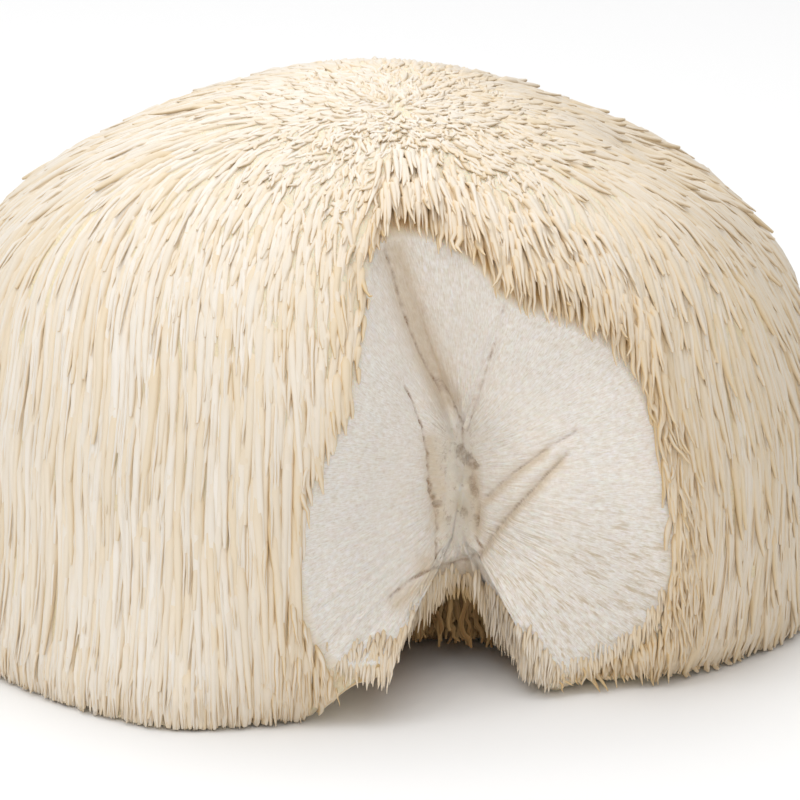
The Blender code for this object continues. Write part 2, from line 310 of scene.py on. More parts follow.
# %% Skin grid
FANS = 560
SCAR_ROWS = 8
FACE_ROWS = 96
DOME_ROWS = 26
UNDERCOAT = 2.0  # the mass of lower spines that closes the gaps between the ones that show
UNDERCOAT_START = 6.0
FLARE = 9.5  # how far the lowest spines hang clear of the flesh, which draws in under them
FLARE_RADII = (52.0, 70.0)
CORNER_RISE = 9.0  # how far the left lobe's corner by the notch stays off the table
MAT_RISE = 0.36  # how far the skin fills the gaps between the spines, so that they merge like wax


def torn_points(places, shares):
    """Grid of points of the torn side, from the scar (share 0) to the edge (share 1)."""
    edge = flesh_point(unit(smooth_closed(TORN_EDGE, places) - CORE))
    fan = np.arctan2((edge[:, 2] - SCAR_CENTRE[2]) / SCAR_HALF_HEIGHT, (edge[:, 0] - SCAR_CENTRE[0]) / SCAR_HALF_HEIGHT)
    loop = np.stack([SCAR_HALF_WIDTH * np.cos(fan), 0.0 * fan, SCAR_HALF_HEIGHT * np.sin(fan)], axis=-1)
    scar = SCAR_CENTRE + loop
    flat = scar + (edge - scar) * np.maximum(shares, 0.0)[:, None, None]
    flat += (SCAR_CENTRE - scar) * np.clip(-shares, 0.0, 1.0)[:, None, None]
    bulge = pillow_heights(places)[None, :, None] * np.sin(np.pi * np.maximum(shares, 0.0) ** 0.85)[:, None, None]
    return flat + PILLOW_OUT * bulge


def smooth_step(low, high, values):
    """0 at low, 1 at high and beyond it, and a smooth rise between. Low may be the larger of the two."""
    share = np.clip((values - low) / (high - low), 0.0, 1.0)
    return share * share * (3.0 - 2.0 * share)


def coated(points, ways, edge_run):
    """Points of the flesh moved out to the closed mass of spines, which thins out towards the torn edge."""
    height = points[..., 2]
    thin = np.sqrt(np.clip(edge_run / UNDERCOAT_START, 0.0, 1.0))
    thick = UNDERCOAT * thin * np.clip(height / 6.0, 0.0, 1.0) * (1.0 - 0.7 * smooth_step(72.0, 98.0, height))
    azimuth = np.degrees(np.arctan2(points[..., 0], -points[..., 1]))
    around = smooth_step(-4.0, -27.0, azimuth) + 0.4 * smooth_step(34.0, 46.0, azimuth)
    around += 0.3 * smooth_step(58.0, 78.0, azimuth) + 0.3 * smooth_step(110.0, 170.0, azimuth)
    radius = np.hypot(points[..., 0], points[..., 1])
    down = np.clip((WAIST_HEIGHT - height) / WAIST_HEIGHT, 0.0, 1.0)
    around *= 1.0 + 0.35 * np.exp(-((azimuth + 26.0) / 16.0) ** 2)
    flare = FLARE * around * thin * down ** 1.7 * smooth_step(*FLARE_RADII, radius)
    outward = points * [1.0, 1.0, 0.0] / np.maximum(radius, 1.0)[..., None]
    coat_points = points + ways * thick[..., None] + outward * flare[..., None]
    corner = smooth_step(-11.0, -1.0, azimuth) * smooth_step(30.0, 20.0, azimuth) * smooth_step(50.0, 64.0, radius)
    coat_points[..., 2] = np.maximum(coat_points[..., 2], CORNER_RISE * corner)
    return coat_points


def dome_rows(places, rows):
    """Grid of points from just outside the torn edge over the dome, towards the back."""
    edge = flesh_point(unit(smooth_closed(TORN_EDGE, places) - CORE))
    start = unit(edge - CORE)
    back = unit(CORE - SCAR_CENTRE)
    whole = np.arccos(np.clip(start @ back, -1.0, 1.0))
    side = unit(back - start * (start @ back)[:, None])
    angles = whole * rows[:, None] ** 1.25
    ways = start * np.cos(angles)[..., None] + side * np.sin(angles)[..., None]
    run = angles * np.linalg.norm(edge - CORE, axis=-1)
    points = flesh_point(ways)
    mat = MAT_RISE * smooth_step(2.0, 10.0, run) * smooth_step(2.0, 10.0, points[..., 2])
    mat *= 1.0 - 0.4 * smooth_step(66.0, 90.0, points[..., 2])
    return coated(points, ways, run) + ways * mat[..., None]


skin_places = even_places(FANS)
face_shares = np.concatenate([
    -1.0 + (np.arange(SCAR_ROWS) + 1.0) / (SCAR_ROWS + 1.0),
    (np.arange(FACE_ROWS) / (FACE_ROWS - 1)) ** 0.9,
])
TORN_ROWS = len(face_shares)
skin_grid = np.concatenate([
    torn_points(skin_places, face_shares),
    dome_rows(skin_places, np.arange(1, DOME_ROWS) / DOME_ROWS),
])
print("skin grid:", skin_grid.shape)

# %% [markdown]
# ## Relief of the torn side
#
# Torn mushroom flesh is felt: fibres that fan out from the scar, some of them pulled up in tufts. A sum of
# many waves that are short across the fibres and long along them gives that grain, and the few creases and
# pits are placed one by one where the picture shows them. The relief is real geometry, part of the mesh
# itself. Each vertex keeps how deep it lies in a crease, for the material to darken it.

# %% Relief
CREASES = (
    # points in picture pixels, half width and depth of the valley, then of the line in it, in pixels and mm
    (((384, 240), (393, 268), (401, 295), (410, 320), (420, 346), (434, 374), (449, 400), (462, 430)), 9, 0.8, 1.2, 0.45),
    (((506, 296), (500, 320), (490, 356), (479, 388), (471, 410), (466, 432)), 7, 0.6, 1.0, 0.3),
    (((408, 386), (416, 402), (425, 428), (430, 455), (432, 480), (438, 504), (440, 530), (438, 556)), 7, 0.6, 1.2, 0.5),
    (((462, 432), (464, 452), (472, 470), (475, 490), (477, 510), (474, 530)), 6, 0.6, 1.4, 0.5),
    (((484, 497), (497, 485), (511, 473), (528, 461), (548, 447), (575, 432)), 5, 0.9, 1.0, 0.26),
    (((478, 553), (486, 541), (497, 526), (511, 510), (529, 492), (545, 474), (565, 455)), 5, 1.1, 1.0, 0.34),
    (((474, 536), (480, 548), (470, 558), (456, 564), (440, 566), (426, 570), (408, 582), (392, 596)), 5, 0.5, 1.6, 0.4),
    (((459, 451), (466, 458), (474, 467)), 5, 0.5, 3.0, 1.6),
    (((471, 478), (473, 494)), 4, 0.3, 2.0, 0.9),
    (((431, 480), (434, 494), (439, 504)), 4, 0.3, 1.8, 0.9),
)
PITS = (
    # place in pixels, radius in pixels, depth in mm
    ((467, 459), 4.5, 1.2),
    ((461, 452), 3.0, 0.8),
    ((440, 504), 3.2, 1.4),
    ((464, 512), 3.5, 0.5),
    ((449, 519), 2.5, 0.5),
)
# Bands of painted shade: on the shaded side of the creases, over the notch and under the felt's edge.
SHADE_BANDS = (
    # points in picture pixels, half width in pixels
    (((397, 250), (410, 300), (428, 350), (448, 400)), 14),
    (((428, 566), (452, 574), (472, 570)), 13),
    (((432, 578), (412, 592), (398, 604)), 9),
    (((432, 440), (436, 480), (440, 520)), 7),
    (((470, 470), (474, 500), (478, 530)), 7),
    (((484, 502), (511, 478), (545, 452)), 5),
    (((480, 556), (497, 530), (529, 496), (560, 462)), 6),
    (((460, 506), (470, 514)), 8),
)
LIP_HEIGHT = 0.12
LIP_WIDTH = 0.5
GRAIN_WAVES = 90
GRAIN_SEED = 7


def distance_to_line(places, line):
    """Distance in pixels from each place to a line of points."""
    best = np.full(places.shape[:-1], np.inf)
    for start, end in zip(np.array(line[:-1], float), np.array(line[1:], float)):
        along = np.clip(((places - start) @ (end - start)) / ((end - start) @ (end - start)), 0.0, 1.0)
        best = np.minimum(best, np.linalg.norm(places - start - along[..., None] * (end - start), axis=-1))
    return best


def grain(across, along, finest, seed):
    """Waves that are short across the fibres and long along them, between about -1 and 1."""
    random = np.random.default_rng(seed)
    total = np.zeros(np.broadcast(across, along).shape)
    for _ in range(GRAIN_WAVES):
        short = 2.0 * np.pi * np.round(random.uniform(0.12, 1.0) * finest)
        long = 2.0 * np.pi * random.uniform(-2.5, 2.5)
        total += np.sin(short * across + long * along + random.uniform(0.0, 2.0 * np.pi))
    return total / math.sqrt(GRAIN_WAVES)


def crumple(places, shortest, longest, seed):
    """Waves in all directions across the picture, between two wavelengths in pixels, between about -1 and 1."""
    random = np.random.default_rng(seed)
    total = np.zeros(places.shape[:-1])
    for _ in range(GRAIN_WAVES):
        heading = random.uniform(0.0, 2.0 * np.pi)
        number = 2.0 * np.pi / random.uniform(shortest, longest)
        total += np.sin(number * (places @ [math.cos(heading), math.sin(heading)]) + random.uniform(0.0, 2.0 * np.pi))
    return total / math.sqrt(GRAIN_WAVES)


def grid_normals(grid):
    """Outward normals of a grid that closes on itself across its columns."""
    along = np.gradient(grid, axis=0)
    across = np.roll(grid, -1, axis=1) - np.roll(grid, 1, axis=1)
    normal = np.cross(across, along)
    return unit(normal) * np.sign(((grid - CORE) * normal).sum(axis=-1, keepdims=True))


shares = face_shares[:, None]
turn = np.arange(FANS)[None, :] / FANS
face = skin_grid[:TORN_ROWS]
face_normals = grid_normals(skin_grid)[:TORN_ROWS]
picture = picture_place(face)
valley_depth = np.zeros(face.shape[:-1])
crease_depth = np.zeros(face.shape[:-1])
for number, (line, half_width, depth, line_width, line_depth) in enumerate(CREASES):
    off = distance_to_line(picture, line)
    valley_depth = np.maximum(valley_depth, depth * np.exp(-(off / half_width) ** 2))
    broken = 0.7 + 0.45 * np.sin(picture[..., 1] * 0.31 + number) * np.sin(picture[..., 1] * 0.113 + 2.0 * number)
    crease_depth = np.maximum(crease_depth, 0.7 * line_depth * broken * np.exp(-(off / line_width) ** 2))
for place, radius, depth in PITS:
    off = np.linalg.norm(picture - np.array(place, float), axis=-1) / radius
    crease_depth = np.maximum(crease_depth, depth * np.exp(-off ** 4))
shade_band = np.zeros(face.shape[:-1])
for line, half_width in SHADE_BANDS:
    shade_band = np.maximum(shade_band, np.exp(-(distance_to_line(picture, line) / half_width) ** 2))
edge_fade = np.clip((1.0 - shares) / 0.05, 0.0, 1.0)
scar_near = np.exp(-(((picture[..., 0] - 455.0) / 22.0) ** 4) - ((picture[..., 1] - 490.0) / 70.0) ** 4)
rough = 0.07 + 0.09 * np.clip((picture[..., 1] - 420.0) / 200.0, 0.0, 1.0)
to_edge = (1.0 - shares) * np.linalg.norm(face[-1] - face[SCAR_ROWS], axis=-1)[None, :]
lip = LIP_HEIGHT * np.exp(-((to_edge - LIP_WIDTH) / LIP_WIDTH) ** 2)
fibres = grain(turn, shares, 190.0, GRAIN_SEED) * np.clip(shares / 0.15, 0.0, 1.0)
lumps = crumple(picture, 7.0, 26.0, GRAIN_SEED + 1)
relief = (rough * fibres + (0.05 + 0.18 * scar_near) * lumps - 0.6 * crease_depth - valley_depth) * edge_fade + lip
skin_grid[:TORN_ROWS] = face + face_normals * relief[..., None]
print("relief of the torn side:", round(float(relief.min()), 2), "to", round(float(relief.max()), 2), "mm")

# %% [markdown]
# ## Skin mesh
#
# The grid becomes a mesh with a vertex at each pole, so it is closed. The UV map runs round the fan and out
# from the scar, so a pattern can follow the fibres. Two attributes go with it: how deep a vertex lies in a
# crease, and how close it is to the scar.

# %% Skin mesh
def grid_mesh(name, grid, first_pole, last_pole, shares_of_rows):
    """A closed mesh from a grid of rows, with a vertex at each end and a UV map of turn and share."""
    rows, columns = grid.shape[:2]
    points = np.concatenate([[first_pole], grid.reshape(-1, 3), [last_pole]])
    faces = []
    uvs = []
    last = rows * columns + 1
    for c in range(columns):
        d = (c + 1) % columns
        faces.append((0, 1 + c, 1 + d))
        uvs += [((c + 0.5) / columns, 0.0), (c / columns, shares_of_rows[0]), ((c + 1) / columns, shares_of_rows[0])]
    for r in range(rows - 1):
        low = shares_of_rows[r]
        high = shares_of_rows[r + 1]
        for c in range(columns):
            d = (c + 1) % columns
            a = 1 + r * columns
            faces.append((a + c, a + columns + c, a + columns + d, a + d))
            uvs += [(c / columns, low), (c / columns, high), ((c + 1) / columns, high), ((c + 1) / columns, low)]
    for c in range(columns):
        d = (c + 1) % columns
        a = 1 + (rows - 1) * columns
        high = shares_of_rows[-1]
        faces.append((last, a + d, a + c))
        uvs += [((c + 0.5) / columns, high), ((c + 1) / columns, high), (c / columns, high)]
    mesh = bpy.data.meshes.new(name)
    mesh.from_pydata(((points - MIDDLE) * MM).tolist(), [], faces)
    layer = mesh.uv_layers.new(name="fan")
    layer.data.foreach_set("uv", np.array(uvs, np.float32).ravel())
    return mesh


def grid_attribute(mesh, name, values):
    """A float on each vertex of the grid's first rows, and 0 on the rest."""
    whole = np.zeros(len(mesh.vertices), np.float32)
    whole[1:1 + values.size] = values.ravel()
    attribute = mesh.attributes.new(name, "FLOAT", "POINT")
    attribute.data.foreach_set("value", whole)


row_shares = np.concatenate([face_shares, 1.0 + np.arange(1, DOME_ROWS) / DOME_ROWS])
back_pole = flesh_point(unit(CORE - SCAR_CENTRE)[None, :])[0]
skin_mesh = grid_mesh("flesh", skin_grid, skin_grid[0].mean(axis=0), back_pole, row_shares)
grid_attribute(skin_mesh, "crease", np.clip(crease_depth * edge_fade, 0.0, 1.5))
grid_attribute(skin_mesh, "scar", scar_near)
grid_attribute(skin_mesh, "shade_band", shade_band)
# The hollow and the top of the notch are painted brown: painted shade of the recess.
skin_ways = unit(skin_grid - CORE)
in_notch = (hollow_reach(skin_ways) < dome_reach(skin_ways) - 0.5) * 1.0
in_notch[:TORN_ROWS] *= 0.55 * smooth_step(0.6, 1.0, shares)
over_notch = 0.9 * np.exp(-(distance_to_line(picture, ((443, 584), (458, 586), (474, 588))) / 10.0) ** 2)
in_notch[:TORN_ROWS] = np.maximum(in_notch[:TORN_ROWS], over_notch)
grid_attribute(skin_mesh, "hollow", in_notch)
low_right = smooth_step(478.0, 500.0, picture[..., 0]) * smooth_step(480.0, 560.0, picture[..., 1])
high_left = smooth_step(350.0, 330.0, picture[..., 0] - 0.6 * (picture[..., 1] - 440.0))
grid_attribute(skin_mesh, "tuft", 0.25 + 0.75 * low_right - 0.2 * high_left)
crown_mat = 1.0 - smooth_step(25.0, 60.0, np.linalg.norm(skin_grid[..., :2] - [5.0, -25.0], axis=-1))
grid_attribute(skin_mesh, "crown", crown_mat * (row_shares > 1.0)[:, None])
# Painted shade: the skin just past the top of the torn edge is gold-brown, where the overhanging spines shade it.
past_edge = np.linalg.norm(skin_grid - skin_grid[TORN_ROWS - 1][None], axis=-1)
high = 0.2 * smooth_step(18.0, 30.0, skin_grid[..., 2]) + 0.8 * smooth_step(50.0, 64.0, skin_grid[..., 2])
brow = np.exp(-(past_edge / 12.0) ** 2) * (row_shares > 1.0)[:, None] * high
brow *= smooth_step(-3.0, 8.0, skin_grid[..., 0])
grid_attribute(skin_mesh, "brow", brow)
skin_mesh.shade_smooth()
flesh = bpy.data.objects.new("flesh", skin_mesh)
bpy.context.scene.collection.objects.link(flesh)
print("flesh:", len(skin_mesh.vertices), "vertices,", sum(len(p.vertices) - 2 for p in skin_mesh.polygons), "triangles")

# %% [markdown]
# ## A guide for the spines
#
# Spines hang. On the crown they lie away from a whorl in front of the top, and further down they follow
# gravity. The guide is an invisible dome that carries this as attributes: which way a spine lies, how long
# it may get before it would pass the torn edge or the table, and where its root may be. It isn't part of the
# object, and it is deleted once the spines are grown.

# %% Guide dome
WHORL = np.array([5.0, -25.0])
WHORL_RADIUS = 24.0  # within it the spines lie more and more as the slope has them
FORWARD = 0.7  # how much more steeply spines hang where the dome faces the torn side
FINE_AZIMUTHS = np.arange(-36.0, 64.0, 0.65)
COARSE_AZIMUTHS = np.arange(64.0, 324.0, 2.0)
LOWEST_ELEVATION = -28.0
GUIDE_ROWS = 132
LONGEST = 56.0
TIP_HEIGHT = 0.5


def torn_test(ways, loop):
    """Whether each ray passes through the torn side, by counting crossings of its edge."""
    azimuth = np.degrees(np.arctan2(ways[..., 0], -ways[..., 1]))
    elevation = np.degrees(np.arcsin(np.clip(ways[..., 2], -1.0, 1.0)))
    rim = unit(loop - CORE)
    rim_azimuth = np.degrees(np.arctan2(rim[:, 0], -rim[:, 1]))
    rim_elevation = np.degrees(np.arcsin(rim[:, 2]))
    inside = np.zeros(azimuth.shape, bool)
    close = ((azimuth > rim_azimuth.min()) & (azimuth < rim_azimuth.max())
             & (elevation > rim_elevation.min()) & (elevation < rim_elevation.max()))
    a, e = azimuth[close], elevation[close]
    flips = np.zeros(a.shape, bool)
    for k in range(len(loop)):
        a0, e0, a1, e1 = rim_azimuth[k - 1], rim_elevation[k - 1], rim_azimuth[k], rim_elevation[k]
        if e0 == e1:
            continue
        crosses = ((e0 > e) != (e1 > e)) & (a < a0 + (e - e0) / (e1 - e0) * (a1 - a0))
        flips ^= crosses
    inside[close] = flips
    return inside


def hang(points, normals):
    """Where the spines lie: away from the whorl on the crown, straight down on the sides."""
    out = points[..., :2] - WHORL
    out = out / np.maximum(np.linalg.norm(out, axis=-1, keepdims=True), WHORL_RADIUS)
    steep = np.clip((FLESH_TOP - points[..., 2]) / 40.0, 0.0, 1.0)[..., None]
    forward = FORWARD * (smooth_step(25.0, 45.0, -points[..., 1]) * smooth_step(48.0, 66.0, points[..., 2]))[..., None]
    out = out * (1.0 - steep) - np.concatenate([0.0 * forward, forward], axis=-1)
    flow = np.concatenate([out, -(0.35 + steep)], axis=-1)
    return unit(flow - normals * (flow * normals).sum(axis=-1, keepdims=True))


azimuths = np.concatenate([FINE_AZIMUTHS, COARSE_AZIMUTHS])
elevations = np.linspace(LOWEST_ELEVATION, 89.0, GUIDE_ROWS)
guide_ways = direction(azimuths[None, :] + 0.0 * elevations[:, None], elevations[:, None] + 0.0 * azimuths[None, :])
dome_skin = dome_reach(guide_ways)
hollow_skin = hollow_reach(guide_ways)
guide_flesh = CORE + guide_ways * np.minimum(dome_skin, hollow_skin)[..., None]
on_torn_side = torn_test(guide_ways, edge_loop)
in_hollow = (hollow_skin < dome_skin) & ~on_torn_side
edge_distance = np.full(guide_flesh.shape[:-1], np.inf)
for point in edge_loop[::2]:
    edge_distance = np.minimum(edge_distance, np.linalg.norm(guide_flesh - point, axis=-1))
bare = on_torn_side | in_hollow
guide_grid = np.where(bare[..., None], guide_flesh, coated(guide_flesh, guide_ways, edge_distance))
guide_normals = grid_normals(guide_grid)
guide_flow = hang(guide_grid, guide_normals)
print("guide grid:", guide_grid.shape)

# %% [markdown]
# How long a spine may get is found by walking from each point of the guide along the flow, one step at a
# time, until the walk enters the torn side or comes down to the table.

# %% Length that a spine has
STEP = 1.4


def free_run(ways):
    """Distance along the flow from each point to the torn side or to the table."""
    run = np.zeros(ways.shape[:-1])
    going = np.ones(ways.shape[:-1], bool)
    here = ways.copy()
    for _ in range(int(LONGEST / STEP)):
        place = CORE + here * dome_reach(here, halvings=12)[..., None]
        normal = unit(place - CORE)
        ahead = unit(place + hang(place, normal) * STEP - CORE)
        going &= ~torn_test(ahead, edge_loop[::4]) & (place[..., 2] > TIP_HEIGHT + STEP)
        run += STEP * going
        here = np.where(going[..., None], ahead, here)
    return run


guide_run = free_run(guide_ways)
print("free run:", round(float(guide_run.min()), 1), "to", round(float(guide_run.max()), 1), "mm")

# %% [markdown]
# The guide mesh gets the attributes that the nodes will read.

# %% Guide mesh
def sheet_mesh(name, grid, closed=True):
    """A grid as an open mesh, which may close on itself across its columns."""
    rows, columns = grid.shape[:2]
    faces = []
    for r in range(rows - 1):
        for c in range(columns if closed else columns - 1):
            d = (c + 1) % columns
            a = r * columns
            faces.append((a + c, a + d, a + columns + d, a + columns + c))
    mesh = bpy.data.meshes.new(name)
    mesh.from_pydata(((grid.reshape(-1, 3) - MIDDLE) * MM).tolist(), [], faces)
    return mesh


def put_attribute(mesh, name, values):
    """An attribute on every vertex: a float, or a vector where the values have three parts."""
    vector = values.shape[-1] == 3
    attribute = mesh.attributes.new(name, "FLOAT_VECTOR" if vector else "FLOAT", "POINT")
    attribute.data.foreach_set("vector" if vector else "value", values.astype(np.float32).ravel())


guide_mesh = sheet_mesh("guide", guide_grid)
heights = guide_grid[..., 2]
from_whorl = np.linalg.norm(guide_grid[..., :2] - WHORL, axis=-1)
put_attribute(guide_mesh, "flow", guide_flow)
put_attribute(guide_mesh, "out", guide_normals)
azimuth_grid = np.degrees(np.arctan2(guide_grid[..., 0], -guide_grid[..., 1]))
# Warmth is mostly painted shade: tan near the torn edge, under the overhanging brow, and on the right side, away from
# the lamp on the left, where it is partly also the spines' own warmer tone. Spines near the table get a little warmer.
near_edge = np.exp(-(edge_distance / 13.0) ** 2) * (0.22 + 0.22 * smooth_step(-10.0, 5.0, azimuth_grid))
near_edge *= 1.0 - 0.5 * smooth_step(15.0, 35.0, azimuth_grid) * smooth_step(62.0, 48.0, heights)
to_right = 0.7 * smooth_step(10.0, 60.0, azimuth_grid) * smooth_step(170.0, 100.0, azimuth_grid)
warm = near_edge + 0.22 * to_right + 0.15 * (1.0 - smooth_step(4.0, 18.0, heights)) + 0.05
put_attribute(guide_mesh, "warm", np.clip(warm, 0.0, 1.0))
# How strongly the flanks of each spine get their painted shade, most near the torn edge.
groove = 0.6 + 0.4 * np.exp(-(edge_distance / 14.0) ** 2)
put_attribute(guide_mesh, "groove", np.clip(groove, 0.0, 1.0))
guide = bpy.data.objects.new("guide", guide_mesh)
bpy.context.scene.collection.objects.link(guide)
print("guide:", len(guide_mesh.vertices), "vertices")

# %% [markdown]
# ## The tree that grows spines
#
# Roots are scattered on the guide with a fixed smallest distance, so they never bunch up by chance. A repeat
# zone then walks every root along the flow, a step at a time: it looks up the flow at the nearest point of
# the guide, adds a wave that neighbours share, so that they gather in locks, and a waver of its own, and
# lifts the point off the flesh, because a spine lies on those that grow below it. The points of the walk
# become curves, and the curves become tapered tubes. All sizes are inputs of the tree.

# %% Spine tree
def spine_tree():
    """Geometry Nodes tree that scatters roots on a guide and grows a tapered spine from each."""
    tree = bpy.data.node_groups.new("grow_spines", "GeometryNodeTree")
    tree.interface.new_socket("Guide", in_out="INPUT", socket_type="NodeSocketGeometry")
    tree.interface.new_socket("Spines", in_out="OUTPUT", socket_type="NodeSocketGeometry")
    for name in ("Root spacing", "Thickness", "Taper", "Root height", "Lift", "Layering", "Tip lift", "Lock sway",
                 "Lock size", "Lock ridge", "Waver", "Waver size", "Hug", "Tip spread"):
        tree.interface.new_socket(name, in_out="INPUT", socket_type="NodeSocketFloat")
    for name in ("Points", "Sides", "Seed"):
        tree.interface.new_socket(name, in_out="INPUT", socket_type="NodeSocketInt")
    tree.interface.new_socket("Material", in_out="INPUT", socket_type="NodeSocketMaterial")
    given = add_node(tree, "NodeGroupInput").outputs
    guide_in = given["Guide"]

    def named(name, kind="FLOAT"):
        return add_node(tree, "GeometryNodeInputNamedAttribute", {"Name": name}, data_type=kind).outputs["Attribute"]

    def maths(operation, *values):
        return add_node(tree, "ShaderNodeMath", dict(enumerate(values)), operation=operation).outputs[0]

    def vector(operation, *values):
        return add_node(tree, "ShaderNodeVectorMath", dict(enumerate(values)), operation=operation).outputs[0]

    def scaled(value, factor):
        return add_node(tree, "ShaderNodeVectorMath", {0: value, "Scale": factor}, operation="SCALE").outputs[0]

    def chance(low, high, salt):
        seed = maths("ADD", given["Seed"], salt)
        node = add_node(tree, "FunctionNodeRandomValue", {"Min": low, "Max": high, "Seed": seed}, data_type="FLOAT")
        return next(s for s in node.outputs if s.enabled)

    def store(geometry, name, value, kind="FLOAT"):
        node = add_node(tree, "GeometryNodeStoreNamedAttribute",
                        {"Geometry": geometry, "Name": name, "Value": value}, data_type=kind, domain="POINT")
        return node.outputs["Geometry"]

    crowd = maths("MAXIMUM", 4.0e6, maths("DIVIDE", 8.0, maths("POWER", given["Root spacing"], 2.0)))
    scatter = add_node(tree, "GeometryNodeDistributePointsOnFaces",
                       {"Mesh": guide_in, "Distance Min": given["Root spacing"], "Density Max": crowd,
                        "Density Factor": named("density"), "Seed": given["Seed"]}, distribute_method="POISSON")
    roots = store(scatter.outputs["Points"], "spine", add_node(tree, "GeometryNodeInputIndex").outputs[0], "INT")
    roots = store(roots, "tone", chance(0.0, 1.0, 11))
    roots = store(roots, "layer", chance(0.0, 1.0, 23))
    longest = maths("MULTIPLY", named("long"), chance(0.72, 1.12, 37))
    short_of = maths("MULTIPLY", chance(-0.3, 1.0, 41), given["Tip spread"])
    within = maths("MINIMUM", longest, maths("SUBTRACT", named("room"), short_of))
    roots = store(roots, "length", maths("MAXIMUM", within, 1.2 * MM))
    place = add_node(tree, "GeometryNodeInputPosition").outputs[0]
    rooted = vector("ADD", place, scaled(named("out", "FLOAT_VECTOR"), given["Root height"]))
    roots = add_node(tree, "GeometryNodeSetPosition", {"Geometry": roots, "Position": rooted}).outputs[0]
    roots = store(roots, "share", 0.0)
    roots = store(roots, "root", add_node(tree, "GeometryNodeInputPosition").outputs[0], "FLOAT_VECTOR")

    start = add_node(tree, "GeometryNodeRepeatInput")
    end = add_node(tree, "GeometryNodeRepeatOutput")
    start.pair_with_output(end)
    end.repeat_items.clear()
    for kind, name in (("GEOMETRY", "Tips"), ("GEOMETRY", "Trail"), ("FLOAT", "Count")):
        end.repeat_items.new(kind, name)
    last = maths("SUBTRACT", given["Points"], 1.0)
    tree.links.new(last, start.inputs["Iterations"])
    tree.links.new(roots, start.inputs["Tips"])
    tree.links.new(roots, start.inputs["Trail"])
    start.inputs["Count"].default_value = 1.0

    def on_guide(value, where, kind="FLOAT_VECTOR"):
        node = add_node(tree, "GeometryNodeSampleNearestSurface",
                        {"Mesh": guide_in, "Value": value, "Sample Position": where}, data_type=kind)
        return next(s for s in node.outputs if s.enabled and s.name == "Value")

    share = maths("DIVIDE", start.outputs["Count"], last)
    here = add_node(tree, "GeometryNodeInputPosition").outputs[0]
    flow = on_guide(named("flow", "FLOAT_VECTOR"), here)
    root = named("root", "FLOAT_VECTOR")
    lock_noise = add_node(tree, "ShaderNodeTexNoise", {"Vector": root, "Scale": given["Lock size"], "Detail": 1.0})
    lock_sway = scaled(vector("SUBTRACT", lock_noise.outputs["Color"], (0.5, 0.5, 0.5)), given["Lock sway"])
    own_place = vector("ADD", here, scaled((7.1, 3.3, 5.7), named("tone")))
    own_noise = add_node(tree, "ShaderNodeTexNoise", {"Vector": own_place, "Scale": given["Waver size"], "Detail": 1.0})
    own_waver = scaled(vector("SUBTRACT", own_noise.outputs["Color"], (0.5, 0.5, 0.5)), given["Waver"])
    way = vector("NORMALIZE", vector("ADD", flow, vector("ADD", lock_sway, own_waver)))
    ahead = vector("ADD", here, scaled(way, maths("DIVIDE", named("length"), last)))
    foot = on_guide(add_node(tree, "GeometryNodeInputPosition").outputs[0], ahead)
    out = vector("NORMALIZE", on_guide(named("out", "FLOAT_VECTOR"), ahead))
    buried = maths("MULTIPLY", given["Layering"], maths("SUBTRACT", named("layer"), 1.0))
    ridge = maths("MULTIPLY", maths("SUBTRACT", lock_noise.outputs[0], 0.5), given["Lock ridge"])
    height = maths("ADD", maths("MULTIPLY", given["Lift"], maths("ADD", 1.0, buried)), ridge)
    grown = maths("MINIMUM", maths("MULTIPLY", share, 4.0), 1.0)
    above_root = maths("SUBTRACT", height, given["Root height"])
    rise = maths("MULTIPLY", above_root, maths("POWER", grown, 0.8))
    curl = maths("MULTIPLY_ADD", maths("POWER", named("tone"), 4.0), 2.5, 0.5)
    free = maths("MULTIPLY", maths("MULTIPLY", given["Tip lift"], curl), maths("POWER", share, 3.0))
    lift = maths("ADD", given["Root height"], maths("ADD", rise, free))
    hugging = vector("ADD", foot, scaled(out, lift))
    loose = vector("ADD", scaled(hugging, given["Hug"]), scaled(ahead, maths("SUBTRACT", 1.0, given["Hug"])))
    lifted = vector("MAXIMUM", loose, (-1.0, -1.0, 0.0006))
    moved = add_node(tree, "GeometryNodeSetPosition", {"Geometry": start.outputs["Tips"], "Position": lifted}).outputs[0]
    moved = store(moved, "share", share)
    moved = store(moved, "out", out, "FLOAT_VECTOR")
    joined = add_node(tree, "GeometryNodeJoinGeometry")
    tree.links.new(moved, joined.inputs[0])
    tree.links.new(start.outputs["Trail"], joined.inputs[0])
    tree.links.new(moved, end.inputs["Tips"])
    tree.links.new(joined.outputs[0], end.inputs["Trail"])
    tree.links.new(maths("ADD", start.outputs["Count"], 1.0), end.inputs["Count"])

